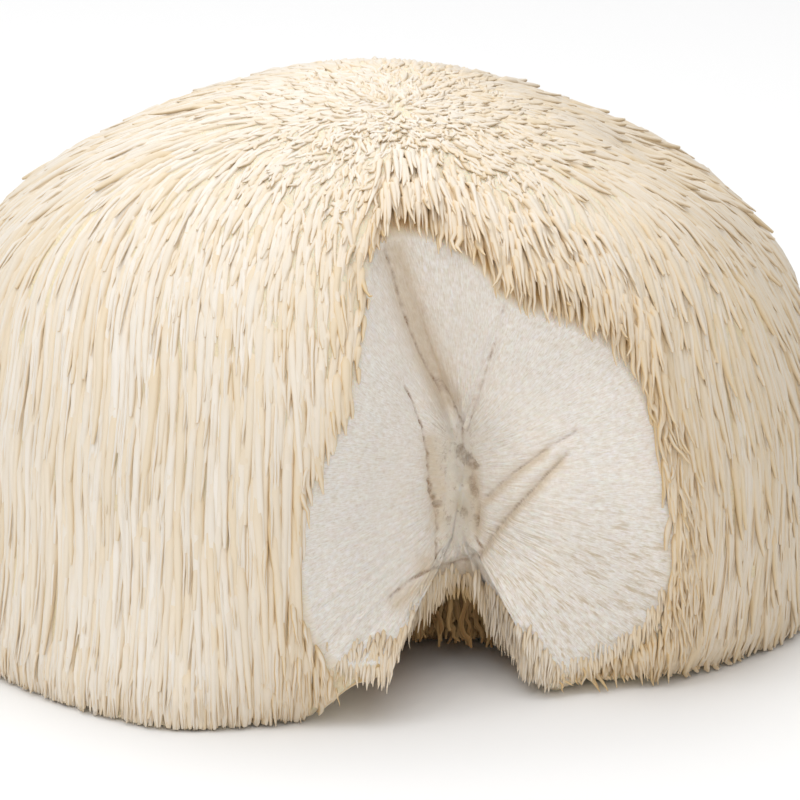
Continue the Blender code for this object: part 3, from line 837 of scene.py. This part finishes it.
    lines = add_node(tree, "GeometryNodePointsToCurves",
                     {"Points": end.outputs["Trail"], "Curve Group ID": named("spine", "INT"), "Weight": named("share")})
    thinned = maths("POWER", maths("SUBTRACT", 1.03, named("share")), given["Taper"])
    swollen = maths("MULTIPLY_ADD", maths("MINIMUM", maths("MULTIPLY", named("share"), 4.0), 1.0), 0.6, 0.4)
    stout = maths("MINIMUM", maths("DIVIDE", named("length"), maths("MULTIPLY", given["Thickness"], 6.0)), 1.0)
    bulge_noise = add_node(tree, "ShaderNodeTexNoise", {"Scale": 1.0 / (2.5 * MM), "Detail": 0.0})
    bulge = maths("MULTIPLY_ADD", bulge_noise.outputs[0], 0.8, 0.6)
    taper = maths("MULTIPLY", maths("MULTIPLY", thinned, swollen), maths("MULTIPLY", stout, bulge))
    width = maths("MULTIPLY", maths("MULTIPLY", given["Thickness"], taper), maths("MULTIPLY_ADD", named("tone"), 0.36, 0.82))
    lines = add_node(tree, "GeometryNodeSetCurveRadius", {"Curve": lines.outputs[0], "Radius": width})
    ring = add_node(tree, "GeometryNodeCurvePrimitiveCircle", {"Resolution": given["Sides"], "Radius": 1.0}, mode="RADIUS")
    tubes = add_node(tree, "GeometryNodeCurveToMesh",
                     {"Curve": lines.outputs[0], "Profile Curve": ring.outputs["Curve"], "Fill Caps": True})
    if "Scale" in [s.name for s in tubes.inputs]:
        tree.links.new(add_node(tree, "GeometryNodeInputRadius").outputs[0], tubes.inputs["Scale"])
    smooth = add_node(tree, "GeometryNodeSetShadeSmooth", {"Geometry": tubes.outputs[0]})
    whole = add_node(tree, "GeometryNodeRealizeInstances", {"Geometry": smooth.outputs[0]})
    finished = add_node(tree, "GeometryNodeSetMaterial", {"Geometry": whole.outputs[0], "Material": given["Material"]})
    add_node(tree, "NodeGroupOutput", {"Spines": finished.outputs[0]})
    return tree


spines_tree = spine_tree()
print("spine tree:", len(spines_tree.nodes), "nodes")

# %% [markdown]
# ## Materials
#
# Fungus flesh is soft and a little see-through: light enters it and comes out warmer, which a subsurface
# share gives. The spines are smooth and slightly waxy, and cream on their ridges. The tan on their flanks,
# roots and lower layers, near the torn edge and in the hollow is painted shade of the gaps and the hollow;
# on the right side the tan is partly their own warmer tone. The torn felt is greyer, drier and rough.

# %% Spine material
def subsurface(shader, share, radius_mm, spread):
    """Light that enters the flesh and leaves it again nearby."""
    shader.inputs["Subsurface Weight"].default_value = share
    shader.inputs["Subsurface Radius"].default_value = spread
    shader.inputs["Subsurface Scale"].default_value = radius_mm * MM


def spine_material():
    """Waxy fungus flesh, grown: cream on the ridges, with tan painted shade between them, near the torn edge and in the
    hollow.
    """
    material = bpy.data.materials.new("fungus_spine_grown_waxy")
    material.use_nodes = True
    tree = material.node_tree
    shader = tree.nodes["Principled BSDF"]

    def read(name):
        return add_node(tree, "ShaderNodeAttribute", attribute_name=name).outputs["Fac"]

    def blend(factor, first, second):
        return add_node(tree, "ShaderNodeMix", {"Factor": factor, 6: first, 7: second}, data_type="RGBA").outputs[2]

    def ramp(value, low, high, start, end):
        return add_node(tree, "ShaderNodeMapRange", {"Value": value, "From Min": low, "From Max": high,
                                                     "To Min": start, "To Max": end}).outputs[0]

    cream = blend(read("tone"), linear("#f6f0e7"), linear("#efe6d8"))
    # Painted shade: tan from the warmth, and brown where it passes 1, on the lumps and tufts in the hollow.
    tan_and_shade = blend(ramp(read("warm"), 0.0, 1.0, 0.0, 1.0), cream, linear("#e4c695"))
    brown_shade = blend(ramp(read("warm"), 1.0, 2.0, 0.0, 1.0), tan_and_shade, linear("#835f30"))
    normal = add_node(tree, "ShaderNodeNewGeometry").outputs["Normal"]
    out = add_node(tree, "ShaderNodeAttribute", attribute_name="out").outputs["Vector"]
    facing = add_node(tree, "ShaderNodeVectorMath", {0: normal, 1: out}, operation="DOT_PRODUCT").outputs["Value"]
    # Painted shade: the flanks of each spine, its lower layers and its root turn tan, where the gaps lie in shade.
    side_on = add_node(tree, "ShaderNodeMath", {0: ramp(facing, 0.1, 0.9, 1.0, 0.0), 1: read("groove")},
                       operation="MULTIPLY").outputs[0]
    flanked = blend(side_on, brown_shade, linear("#e8c690"))
    buried = blend(ramp(read("layer"), 0.0, 0.7, 0.35, 0.0), flanked, linear("#e8c98f"))
    shaded_roots = blend(ramp(read("share"), 0.0, 0.35, 0.4, 0.0), buried, linear("#e6c68f"))
    tree.links.new(shaded_roots, shader.inputs["Base Color"])
    lying = add_node(tree, "ShaderNodeVectorTransform", {0: out}, vector_type="NORMAL", convert_from="OBJECT",
                     convert_to="WORLD").outputs[0]
    softer = add_node(tree, "ShaderNodeMix", {"Factor": 0.45, 4: normal, 5: lying}, data_type="VECTOR").outputs[1]
    level = add_node(tree, "ShaderNodeVectorMath", {0: softer}, operation="NORMALIZE").outputs[0]
    tree.links.new(level, shader.inputs["Normal"])
    shader.inputs["Roughness"].default_value = 0.5
    shader.inputs["IOR"].default_value = 1.4
    return material


waxy_spine = spine_material()

# %% [markdown]
# ## The torn felt
#
# The torn side shows short pale fibres that fan out from the scar. Noise on the UV map, stretched along the
# fan, gives the fibres at two widths, because they get finer towards the scar. The scar has brown flecks of
# its own. The brown of the creases and pits is partly the dried flesh, partly painted shade. The tan bands
# beside the creases and under the felt's edge, the brown of the hollow and the gold under the brow are
# painted shade, and the paler scar is painted light that lifts the shade of its depth.

# %% Flesh material
def flesh_material():
    """Torn fungus flesh, dry and felted, with fibres that fan out from the scar."""
    material = bpy.data.materials.new("fungus_flesh_torn_felt")
    material.use_nodes = True
    tree = material.node_tree
    shader = tree.nodes["Principled BSDF"]
    fan = add_node(tree, "ShaderNodeUVMap", uv_map="fan").outputs[0]
    apart = add_node(tree, "ShaderNodeSeparateXYZ", {0: fan}).outputs
    crease = add_node(tree, "ShaderNodeAttribute", attribute_name="crease").outputs["Fac"]
    scar = add_node(tree, "ShaderNodeAttribute", attribute_name="scar").outputs["Fac"]
    fibres = []
    for across, along in ((1000.0, 22.0), (420.0, 16.0)):
        stretched = add_node(tree, "ShaderNodeMapping", {"Vector": fan, "Scale": (across, along, 1.0)})
        noise = add_node(tree, "ShaderNodeTexNoise",
                         {"Vector": stretched.outputs[0], "Scale": 1.0, "Detail": 3.0, "Roughness": 0.6})
        fibres.append(noise.outputs[0])
    near = add_node(tree, "ShaderNodeMapRange", {"Value": apart["Y"], "From Min": 0.25, "From Max": 0.6})
    fibre = add_node(tree, "ShaderNodeMix", {"Factor": near.outputs[0], 2: fibres[1], 3: fibres[0]}, data_type="FLOAT")
    place = add_node(tree, "ShaderNodeTexCoord").outputs["Object"]
    felt = add_node(tree, "ShaderNodeTexNoise", {"Vector": place, "Scale": 1300.0, "Detail": 3.0, "Roughness": 0.6})
    woolly = add_node(tree, "ShaderNodeMix", {"Factor": 0.3, 2: fibre.outputs[0], 3: felt.outputs[0]}, data_type="FLOAT")
    shade = add_node(tree, "ShaderNodeMapRange", {"Value": woolly.outputs[0], "From Min": 0.34, "From Max": 0.6})
    pale = add_node(tree, "ShaderNodeMix", {"Factor": shade.outputs[0], 6: linear("#e6dacb"), 7: linear("#fffaf4")},
                    data_type="RGBA")
    # Tan bands of painted shade beside the creases, over the notch and under the felt's edge.
    shade_band = add_node(tree, "ShaderNodeAttribute", attribute_name="shade_band").outputs["Fac"]
    shade_band_share = add_node(tree, "ShaderNodeMath", {0: shade_band, 1: 0.5}, operation="MULTIPLY")
    tan_and_shade = add_node(tree, "ShaderNodeMix", {"Factor": shade_band_share.outputs[0], 6: pale.outputs[2], 7: linear("#cdb48c")},
                      data_type="RGBA")
    # Brown in the creases and pits, broken up by noise: partly the dried flesh, partly painted shade of the crease.
    crumbs = add_node(tree, "ShaderNodeTexNoise", {"Vector": place, "Scale": 800.0, "Detail": 4.0, "Roughness": 0.75})
    crumb = add_node(tree, "ShaderNodeMapRange", {"Value": crumbs.outputs[0], "From Min": 0.42, "From Max": 0.64,
                                                  "To Min": 0.3, "To Max": 1.0})
    brown_shade = add_node(tree, "ShaderNodeMapRange", {"Value": crease, "From Min": 0.02, "From Max": 0.26, "To Max": 0.95})
    crumbled = add_node(tree, "ShaderNodeMath", {0: brown_shade.outputs[0], 1: crumb.outputs[0]}, operation="MULTIPLY")
    brown = add_node(tree, "ShaderNodeMix", {"Factor": crumbled.outputs[0], 6: tan_and_shade.outputs[2], 7: linear("#86581f")},
                     data_type="RGBA")
    ragged = add_node(tree, "ShaderNodeMapping", {"Vector": fan, "Scale": (330.0, 9.0, 1.0)})
    streaks = add_node(tree, "ShaderNodeTexNoise", {"Vector": ragged.outputs[0], "Scale": 1.0, "Detail": 4.0,
                                                   "Roughness": 0.65, "Distortion": 0.4})
    torn = add_node(tree, "ShaderNodeMapRange", {"Value": streaks.outputs[0], "From Min": 0.5, "From Max": 0.66,
                                                 "To Max": 0.7})
    tuft = add_node(tree, "ShaderNodeAttribute", attribute_name="tuft").outputs["Fac"]
    tufted = add_node(tree, "ShaderNodeMath", {0: torn.outputs[0], 1: tuft}, operation="MULTIPLY")
    streaked = add_node(tree, "ShaderNodeMix", {"Factor": tufted.outputs[0], 6: brown.outputs[2], 7: linear("#c9b490")},
                        data_type="RGBA")
    # Painted light: the scar is made paler, to lift the shade that its depth casts.
    painted_scar_light = add_node(tree, "ShaderNodeMath", {0: scar, 1: 0.45}, operation="MULTIPLY")
    coloured = add_node(tree, "ShaderNodeMix", {"Factor": painted_scar_light.outputs[0], 6: streaked.outputs[2], 7: linear("#fbefd9")},
                        data_type="RGBA")
    blotch = add_node(tree, "ShaderNodeTexNoise", {"Vector": place, "Scale": 520.0, "Detail": 4.0, "Roughness": 0.7})
    spotted = add_node(tree, "ShaderNodeMapRange", {"Value": blotch.outputs[0], "From Min": 0.55, "From Max": 0.7,
                                                    "To Max": 0.6})
    spots = add_node(tree, "ShaderNodeMath", {0: spotted.outputs[0], 1: scar}, operation="MULTIPLY")
    coloured = add_node(tree, "ShaderNodeMix", {"Factor": spots.outputs[0], 6: coloured.outputs[2],
                                                7: linear("#94744a")}, data_type="RGBA")
    rim = add_node(tree, "ShaderNodeMapRange", {"Value": apart["Y"], "From Min": 0.98, "From Max": 0.995, "To Max": 0.35})
    lipped = add_node(tree, "ShaderNodeMix", {"Factor": rim.outputs[0], 6: coloured.outputs[2], 7: linear("#f3e8d6")},
                      data_type="RGBA")
    under = add_node(tree, "ShaderNodeMapRange", {"Value": apart["Y"], "From Min": 1.0, "From Max": 1.03})
    crown = add_node(tree, "ShaderNodeAttribute", attribute_name="crown").outputs["Fac"]
    mat = add_node(tree, "ShaderNodeMix", {"Factor": crown, 6: linear("#f1dfbc"), 7: linear("#f5e7cc")},
                   data_type="RGBA")
    # Painted shade: gold-brown under the brow.
    brow = add_node(tree, "ShaderNodeAttribute", attribute_name="brow").outputs["Fac"]
    mat = add_node(tree, "ShaderNodeMix", {"Factor": brow, 6: mat.outputs[2], 7: linear("#d8ae72")}, data_type="RGBA")
    matted = add_node(tree, "ShaderNodeMix", {"Factor": under.outputs[0], 6: lipped.outputs[2], 7: mat.outputs[2]},
                      data_type="RGBA")
    # Painted shade: brown in the hollow.
    hollow = add_node(tree, "ShaderNodeAttribute", attribute_name="hollow").outputs["Fac"]
    shaded = add_node(tree, "ShaderNodeMix", {"Factor": hollow, 6: matted.outputs[2], 7: linear("#ad8753")},
                      data_type="RGBA")
    tree.links.new(shaded.outputs[2], shader.inputs["Base Color"])
    bump = add_node(tree, "ShaderNodeBump", {"Height": fibre.outputs[0], "Strength": 0.7, "Distance": 0.0004})
    tree.links.new(bump.outputs[0], shader.inputs["Normal"])
    shader.inputs["Roughness"].default_value = 0.8
    shader.inputs["IOR"].default_value = 1.4
    shader.inputs["Sheen Weight"].default_value = 0.15
    subsurface(shader, 0.4, 1.5, (1.0, 0.75, 0.5))
    return material


torn_felt = flesh_material()
skin_mesh.materials.append(torn_felt)

# %% [markdown]
# ## Growing the coat
#
# The coat is grown region by region: short curly stubs on the crown, longer spines on the shoulder and long
# ones on the sides. Each region says how far apart its roots are, how long and how thick its spines get and
# how strongly they gather in locks. A region of many spines is grown in sectors, so that no piece gets too
# heavy.

# %% Grow regions
def grow(name, guide_of, seed, density, long, room, spacing, thickness, taper, lift, points, sides=4, root=-0.5,
         layering=0.4, tip_lift=0.4, lock=(0.35, 7.0, 0.5), waver=(0.12, 6.0), hug=1.0, spread=2.0):
    """One piece of the coat, as a plain mesh. Lengths are in millimetres."""
    for attribute, values in (("density", density), ("long", long * MM), ("room", room * MM)):
        if attribute in guide_of.data.attributes:
            guide_of.data.attributes.remove(guide_of.data.attributes[attribute])
        put_attribute(guide_of.data, attribute, values)
    modifier = guide_of.modifiers.new("grow", "NODES")
    modifier.node_group = spines_tree
    sizes = {
        "Root spacing": spacing * MM,
        "Thickness": thickness * MM,
        "Taper": taper,
        "Root height": root * MM,
        "Lift": lift * MM,
        "Layering": layering,
        "Tip lift": tip_lift * MM,
        "Lock sway": lock[0],
        "Lock size": 1.0 / (lock[1] * MM),
        "Lock ridge": 2.0 * lock[2] * MM,
        "Waver": waver[0],
        "Waver size": 1.0 / (waver[1] * MM),
        "Hug": hug,
        "Tip spread": spread * MM,
        "Points": points,
        "Sides": sides,
        "Seed": seed,
        "Material": waxy_spine,
    }
    sockets = {item.name: item.identifier for item in spines_tree.interface.items_tree if item.in_out == "INPUT"}
    for socket, value in sizes.items():
        modifier[sockets[socket]] = value
    graph = bpy.context.evaluated_depsgraph_get()
    mesh = bpy.data.meshes.new_from_object(guide_of.evaluated_get(graph))
    guide_of.modifiers.remove(modifier)
    mesh.name = name
    piece = bpy.data.objects.new(name, mesh)
    bpy.context.scene.collection.objects.link(piece)
    triangles = sum(len(p.vertices) - 2 for p in mesh.polygons)
    print(name + ":", triangles // (2 * sides * (points - 1) + 2 * (sides - 2)), "spines,", triangles, "triangles")
    return piece


clothed = (1.0 - on_torn_side) * (1.0 - in_hollow)
with_room = smooth_step(1.5, 3.0, guide_run)
into_edge = (guide_run < 15.0) & (heights > 30.0)
overhang = guide_run + 1.2 * into_edge
fringe_zone = smooth_step(28.0, 18.0, edge_distance) * (heights > 55.0) * smooth_step(30.0, 20.0, guide_run)
fringe_zone = fringe_zone * smooth_step(-1.0, 3.0, azimuth_grid)
inland = np.where(heights > 20.0, smooth_step(1.5, 6.0, guide_run), 1.0)  # roots keep off the edge below them
crown = smooth_step(34.0, 22.0, from_whorl) * (1.0 - fringe_zone)
shoulder = smooth_step(20.0, 32.0, from_whorl) * smooth_step(58.0, 46.0, from_whorl) * (1.0 - fringe_zone)
flank = smooth_step(34.0, 46.0, from_whorl) * (1.0 - fringe_zone)
above_table = smooth_step(2.0, 5.0, heights)
left_rim = smooth_step(3.0, -3.0, azimuth_grid) * smooth_step(20.0, 28.0, heights)
off_rim = 1.0 - left_rim * smooth_step(14.0, 6.0, edge_distance)
side_long = 24.0 + 16.0 * (1.0 - smooth_step(60.0, 92.0, heights))

coat = []
tangle = clothed * smooth_step(30.0, 20.0, from_whorl) * with_room
corner = 1.5 * np.clip(azimuth_grid + 10.0, 0.0, 12.0) * (azimuth_grid < 20.0) * (1.0 - smooth_step(14.0, 24.0, heights))
to_table = guide_run + 1.0 - corner
coat.append(grow("spines_tangle", guide, 9, tangle * (1.0 - fringe_zone), 4.4 + 0.0 * heights, overhang, 0.95, 0.66,
                 0.5, 0.25, 6, root=-0.5, layering=0.9, lock=(3.0, 6.0, 0.3), waver=(3.4, 2.4), tip_lift=0.3,
                 spread=1.0))
coat.append(grow("spines_whorl", guide, 15, clothed * smooth_step(14.0, 8.0, from_whorl), 4.0 + 0.0 * heights,
                 overhang, 1.3, 0.62, 0.6, 0.5, 6, root=-0.4, layering=0.8, lock=(0.0, 6.0, 0.3), waver=(9.0, 2.2),
                 tip_lift=0.3, spread=1.0))
coat.append(grow("spines_crown", guide, 1, clothed * np.clip(crown - tangle, 0.0, 1.0) * with_room,
                 4.0 + 0.14 * from_whorl, overhang, 1.05, 0.7, 0.5, 0.25, 6, root=-0.5, layering=0.9,
                 lock=(2.0, 5.0, 0.4), waver=(2.0, 2.6), tip_lift=0.4, spread=1.0))
coat.append(grow("spines_shoulder", guide, 2, clothed * shoulder * with_room, 13.0 + 0.0 * heights, overhang, 1.9,
                 0.84, 0.45, 0.05, 8, sides=5, root=-0.9, layering=1.2, lock=(0.8, 6.0, 0.35), waver=(0.6, 3.5),
                 tip_lift=0.3, spread=1.0))
for number in range(4):
    off_middle = (azimuth_grid - 90.0 * number + 315.0) % 360.0 - 180.0
    sector = (np.abs(off_middle) < 46.0) * 1.0
    in_front = number in (1, 2)
    combed = number == 1  # the left side, as the photograph has it, is smooth and its spines are long
    own_seed = 14 * (number == 3)  # with the draws of its neighbours it would repeat the spines where they meet
    coat.append(grow(f"spines_side_{number}", guide, 3 + own_seed, clothed * flank * above_table * sector * inland,
                     side_long if combed else 0.65 * side_long, to_table, 3.3 if combed else 2.9,
                     1.1 if combed else 0.95, 0.4, -0.05, 12 if combed else 8 + in_front, sides=6 if combed else 5,
                     root=-1.2, layering=2.0, tip_lift=(0.5, 0.4, 0.9, 0.5)[number],
                     lock=(0.3, 8.0, 0.9) if combed else (0.45, 7.0, 1.0),
                     waver=(0.14, 8.0) if combed else (0.32, 5.0), spread=2.5))
    coat.append(grow(f"spines_fine_{number}", guide, 13 + own_seed,
                     clothed * flank * above_table * sector * inland * off_rim, 0.55 * side_long, to_table,
                     3.6 if in_front else 4.4, 0.62, 0.5, 0.65, 8, root=-0.9, layering=0.8,
                     lock=(0.3, 8.0, 0.9), waver=(0.3, 5.0), spread=2.5))
fringe = clothed * fringe_zone * smooth_step(2.5, 7.0, guide_run)
coat.append(grow("spines_fringe", guide, 4, fringe * smooth_step(17.0, 12.0, edge_distance), 14.0 + 0.0 * heights,
                 overhang + 1.0, 1.25, 0.76, 0.65, 1.8, 9, sides=5, root=-0.8, layering=0.95, tip_lift=1.2,
                 lock=(0.5, 4.0, 1.2), waver=(0.5, 3.0), spread=4.5))
coat.append(grow("spines_brow", guide, 10, fringe * smooth_step(10.0, 14.0, edge_distance), 12.0 + 0.0 * heights,
                 overhang, 1.35, 0.76, 0.6, 1.0, 9, sides=5, root=-0.8, layering=1.0, tip_lift=0.8,
                 lock=(0.8, 4.0, 1.0), waver=(0.6, 3.0), spread=3.0))
rim = clothed * (1.0 - smooth_step(4.0, 7.0, edge_distance)) * smooth_step(0.3, 1.0, edge_distance) * inland
rim = rim * (1.0 - fringe_zone) * (0.25 + 0.75 * smooth_step(0.0, 20.0, azimuth_grid)) * (1.0 - 0.8 * left_rim)
coat.append(grow("spines_rim", guide, 5, rim, 5.0 + 0.7 * np.minimum(edge_distance, 9.0), to_table, 1.1, 0.55, 0.6, 1.3,
                 7, root=-0.5, layering=0.8, tip_lift=1.2, lock=(1.1, 3.0, 0.6), waver=(0.9, 2.5)))
hem = clothed * (1.0 - smooth_step(10.0, 15.0, heights)) * smooth_step(1.5, 3.0, heights) * (to_table > 2.0)
coat.append(grow("spines_hem", guide, 6, hem, 8.0 + 0.0 * heights, to_table, 1.9, 0.62, 0.75, 0.8, 6, root=-0.6,
                 layering=0.7, tip_lift=0.6, waver=(0.3, 3.0), spread=1.6))

# %% [markdown]
# ## Frayed edge of the torn side
#
# Along the foot of both lobes and round the notch between them the felt ends in tufts that hang free. They
# root on strips of the torn side along its edge, and on the roof of the hollow, so each strip is a small
# guide of its own, with a flow that points straight down.

# %% Frayed edge
FRAYS = (
    # name, then edge point, lowest share, length and warmth at some places, spacing, thickness, lean to the right
    # and lean to the front
    ("foot", ((9.6, 0.95, 3.6, 0.4), (11.6, 0.9, 4.0, 0.3), (12.8, 0.87, 4.0, 0.3)), 0.72, 0.45, 0.0, 0.22),
    ("right", ((12.6, 0.6, 4.5, 0.1), (12.9, 0.5, 5.5, 0.1), (13.3, 0.4, 7.0, 0.2), (14.2, 0.35, 8.0, 0.3),
               (14.9, 0.4, 7.0, 0.6)), 0.65, 0.5, -0.08, 0.55),
    # Warmth above 1 browns the tufts that hang over the hollow: painted shade.
    ("top", ((14.7, 0.5, 4.0, 0.6), (15.8, 0.5, 2.8, 1.2), (17.0, 0.5, 4.0, 0.6)), 0.75, 0.45, 0.0, 0.3),
    ("left", ((16.9, 0.5, 6.0, 0.6), (17.3, 0.5, 8.0, 0.4), (17.8, 0.5, 9.0, 0.3), (18.3, 0.58, 7.0, 0.2),
              (18.8, 0.66, 5.0, 0.15), (20.2, 0.8, 3.2, 0.1)), 0.68, 0.5, -0.08, 0.3),
)


def hanging_guide(name, grid, flow, warm):
    """A strip from which spines hang."""
    mesh = sheet_mesh(name, grid, closed=False)
    put_attribute(mesh, "flow", flow)
    put_attribute(mesh, "out", np.broadcast_to(np.array([0.0, -1.0, 0.0]), grid.shape))
    put_attribute(mesh, "warm", np.broadcast_to(warm, grid.shape[:-1]))
    put_attribute(mesh, "groove", np.full(grid.shape[:-1], 0.4))
    strip = bpy.data.objects.new(name, mesh)
    bpy.context.scene.collection.objects.link(strip)
    return strip


strips = []
def way_down(grid, lean):
    """The way along the surface that points down in the picture, with a lean to the right."""
    along_rows, along_columns = np.gradient(grid, axis=0), np.gradient(grid, axis=1)
    seen = picture_place(grid)
    (rx, ry), (cx, cy) = (np.moveaxis(np.gradient(seen, axis=a), -1, 0) for a in (0, 1))
    across = rx * cy - ry * cx
    across = np.where(np.abs(across) < 1e-3, 1e-3, across)
    rows = (lean * cy - cx) / across
    columns = (rx - lean * ry) / across
    return unit(along_rows * rows[..., None] + along_columns * columns[..., None])


for number, (name, knots, spacing, thickness, lean, forward) in enumerate(FRAYS):
    knots = np.array(knots).T
    places = np.linspace(knots[0][0], knots[0][-1], 80)
    lows, long, warmth = (np.interp(places, knots[0], row) for row in knots[1:])
    columns = [torn_points(places[i:i + 1], np.linspace(lows[i], 1.0, 10)) for i in range(80)]
    grid = np.concatenate(columns, axis=1)
    outermost = np.linspace(0.0, 1.0, 10)[:, None]
    loose = 0.8 * outermost[..., None] ** 3
    flow = unit(way_down(grid, lean) * (1.0 - loose) + unit(np.array([lean, -0.3, -1.0])) * loose + [0.0, -forward, 0.0])
    strips.append(hanging_guide("strip_" + name, grid, flow, 0.1 + outermost * warmth))
    long = long + 0.0 * grid[..., 0]
    sparse_start = smooth_step(-0.1, 0.6, outermost) + 0.0 * long
    coat.append(grow("fray_" + name, strips[-1], 20 + number, sparse_start, long,
                     np.maximum(grid[..., 2] - 2.0, 1.5), spacing, thickness, 0.7, 0.0, 8, root=-0.1,
                     lock=(0.6, 3.0, 0.0), waver=(0.7, 2.0), hug=0.0, spread=2.0))
roof_x, roof_y = np.meshgrid(np.linspace(6.0, 20.0, 20), np.linspace(-44.0, -34.0, 16))
inner = 1.0 - ((roof_x - HOLLOW_CENTRE[0]) / HOLLOW_RADII[0]) ** 2 - ((roof_y - HOLLOW_CENTRE[1]) / HOLLOW_RADII[1]) ** 2
roof = np.stack([roof_x, roof_y, HOLLOW_CENTRE[2] + HOLLOW_RADII[2] * np.sqrt(np.clip(inner, 0.1, None))], axis=-1)
# Warmth 2 turns the lumps in the hollow fully brown: painted shade.
strips.append(hanging_guide("strip_roof", roof, np.broadcast_to([0.0, -0.1, -0.99], roof.shape), 2.0))
ones = np.ones(roof.shape[:-1])
coat.append(grow("lumps_roof", strips[-1], 30, ones, 12.0 * ones, roof[..., 2] - 3.0, 1.05, 0.6, 0.3, 0.0, 9, sides=5,
                 root=0.0, lock=(1.5, 4.0, 0.0), waver=(3.4, 1.5), hug=0.0, spread=3.0))

# %% [markdown]
# ## Stage, light and pieces
#
# A flat white floor, and large soft lights, give the even light of a product picture.

# %% Floor, world and lights
def flat_material(name, code, roughness):
    """A plain painted surface of the stage."""
    material = bpy.data.materials.new(name)
    material.use_nodes = True
    shader = material.node_tree.nodes["Principled BSDF"]
    shader.inputs["Base Color"].default_value = linear(code)
    shader.inputs["Roughness"].default_value = roughness
    return material


def area_light(name, place, target, size, power, code="#ffffff"):
    """A square lamp that looks at a target."""
    data = bpy.data.lights.new(name, "AREA")
    data.size = size
    data.energy = power
    data.color = linear(code)[:3]
    lamp = bpy.data.objects.new(name, data)
    lamp.location = place
    aim = np.array(target, float) - np.array(place, float)
    yaw = math.atan2(aim[1], aim[0]) - math.pi / 2
    pitch = math.atan2(math.hypot(aim[0], aim[1]), -aim[2])
    lamp.rotation_euler = (pitch, 0.0, yaw)
    bpy.context.scene.collection.objects.link(lamp)
    return lamp


floor_mesh = bpy.data.meshes.new("floor")
half = 6.0
floor_mesh.from_pydata([(-half, -half, 0.0), (half, -half, 0.0), (half, half, 0.0), (-half, half, 0.0)], [],
                       [(0, 1, 2, 3)])
floor_mesh.materials.append(flat_material("painted_board_white", "#f7f7f7", 0.9))
floor = bpy.data.objects.new("floor", floor_mesh)
bpy.context.scene.collection.objects.link(floor)

world = bpy.data.worlds.new("soft_studio")
world.use_nodes = True
world.node_tree.nodes["Background"].inputs["Color"].default_value = (1.0, 1.0, 1.0, 1.0)
world.node_tree.nodes["Background"].inputs["Strength"].default_value = 0.34
bpy.context.scene.world = world
area_light("overhead", (0.0, 0.0, 1.4), (0.0, 0.0, 0.0), 1.4, 11.0)
area_light("from_behind", (-0.2, 0.9, 1.2), (0.0, 0.0, 0.0), 1.2, 6.5)
area_light("from_the_front", (0.0, -1.25, 0.95), (0.0, 0.0, 0.05), 0.9, 4.4)
area_light("from_the_left", (-0.9, -0.6, 1.0), (0.0, 0.0, 0.05), 0.9, 4.0)
bpy.context.scene.view_settings.view_transform = "Standard"

# %% Pieces ride on the frame
for helper in [guide, *strips]:
    bpy.data.objects.remove(helper)
for piece in [flesh, *coat]:
    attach(piece, "root")
    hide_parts("fruiting_body")
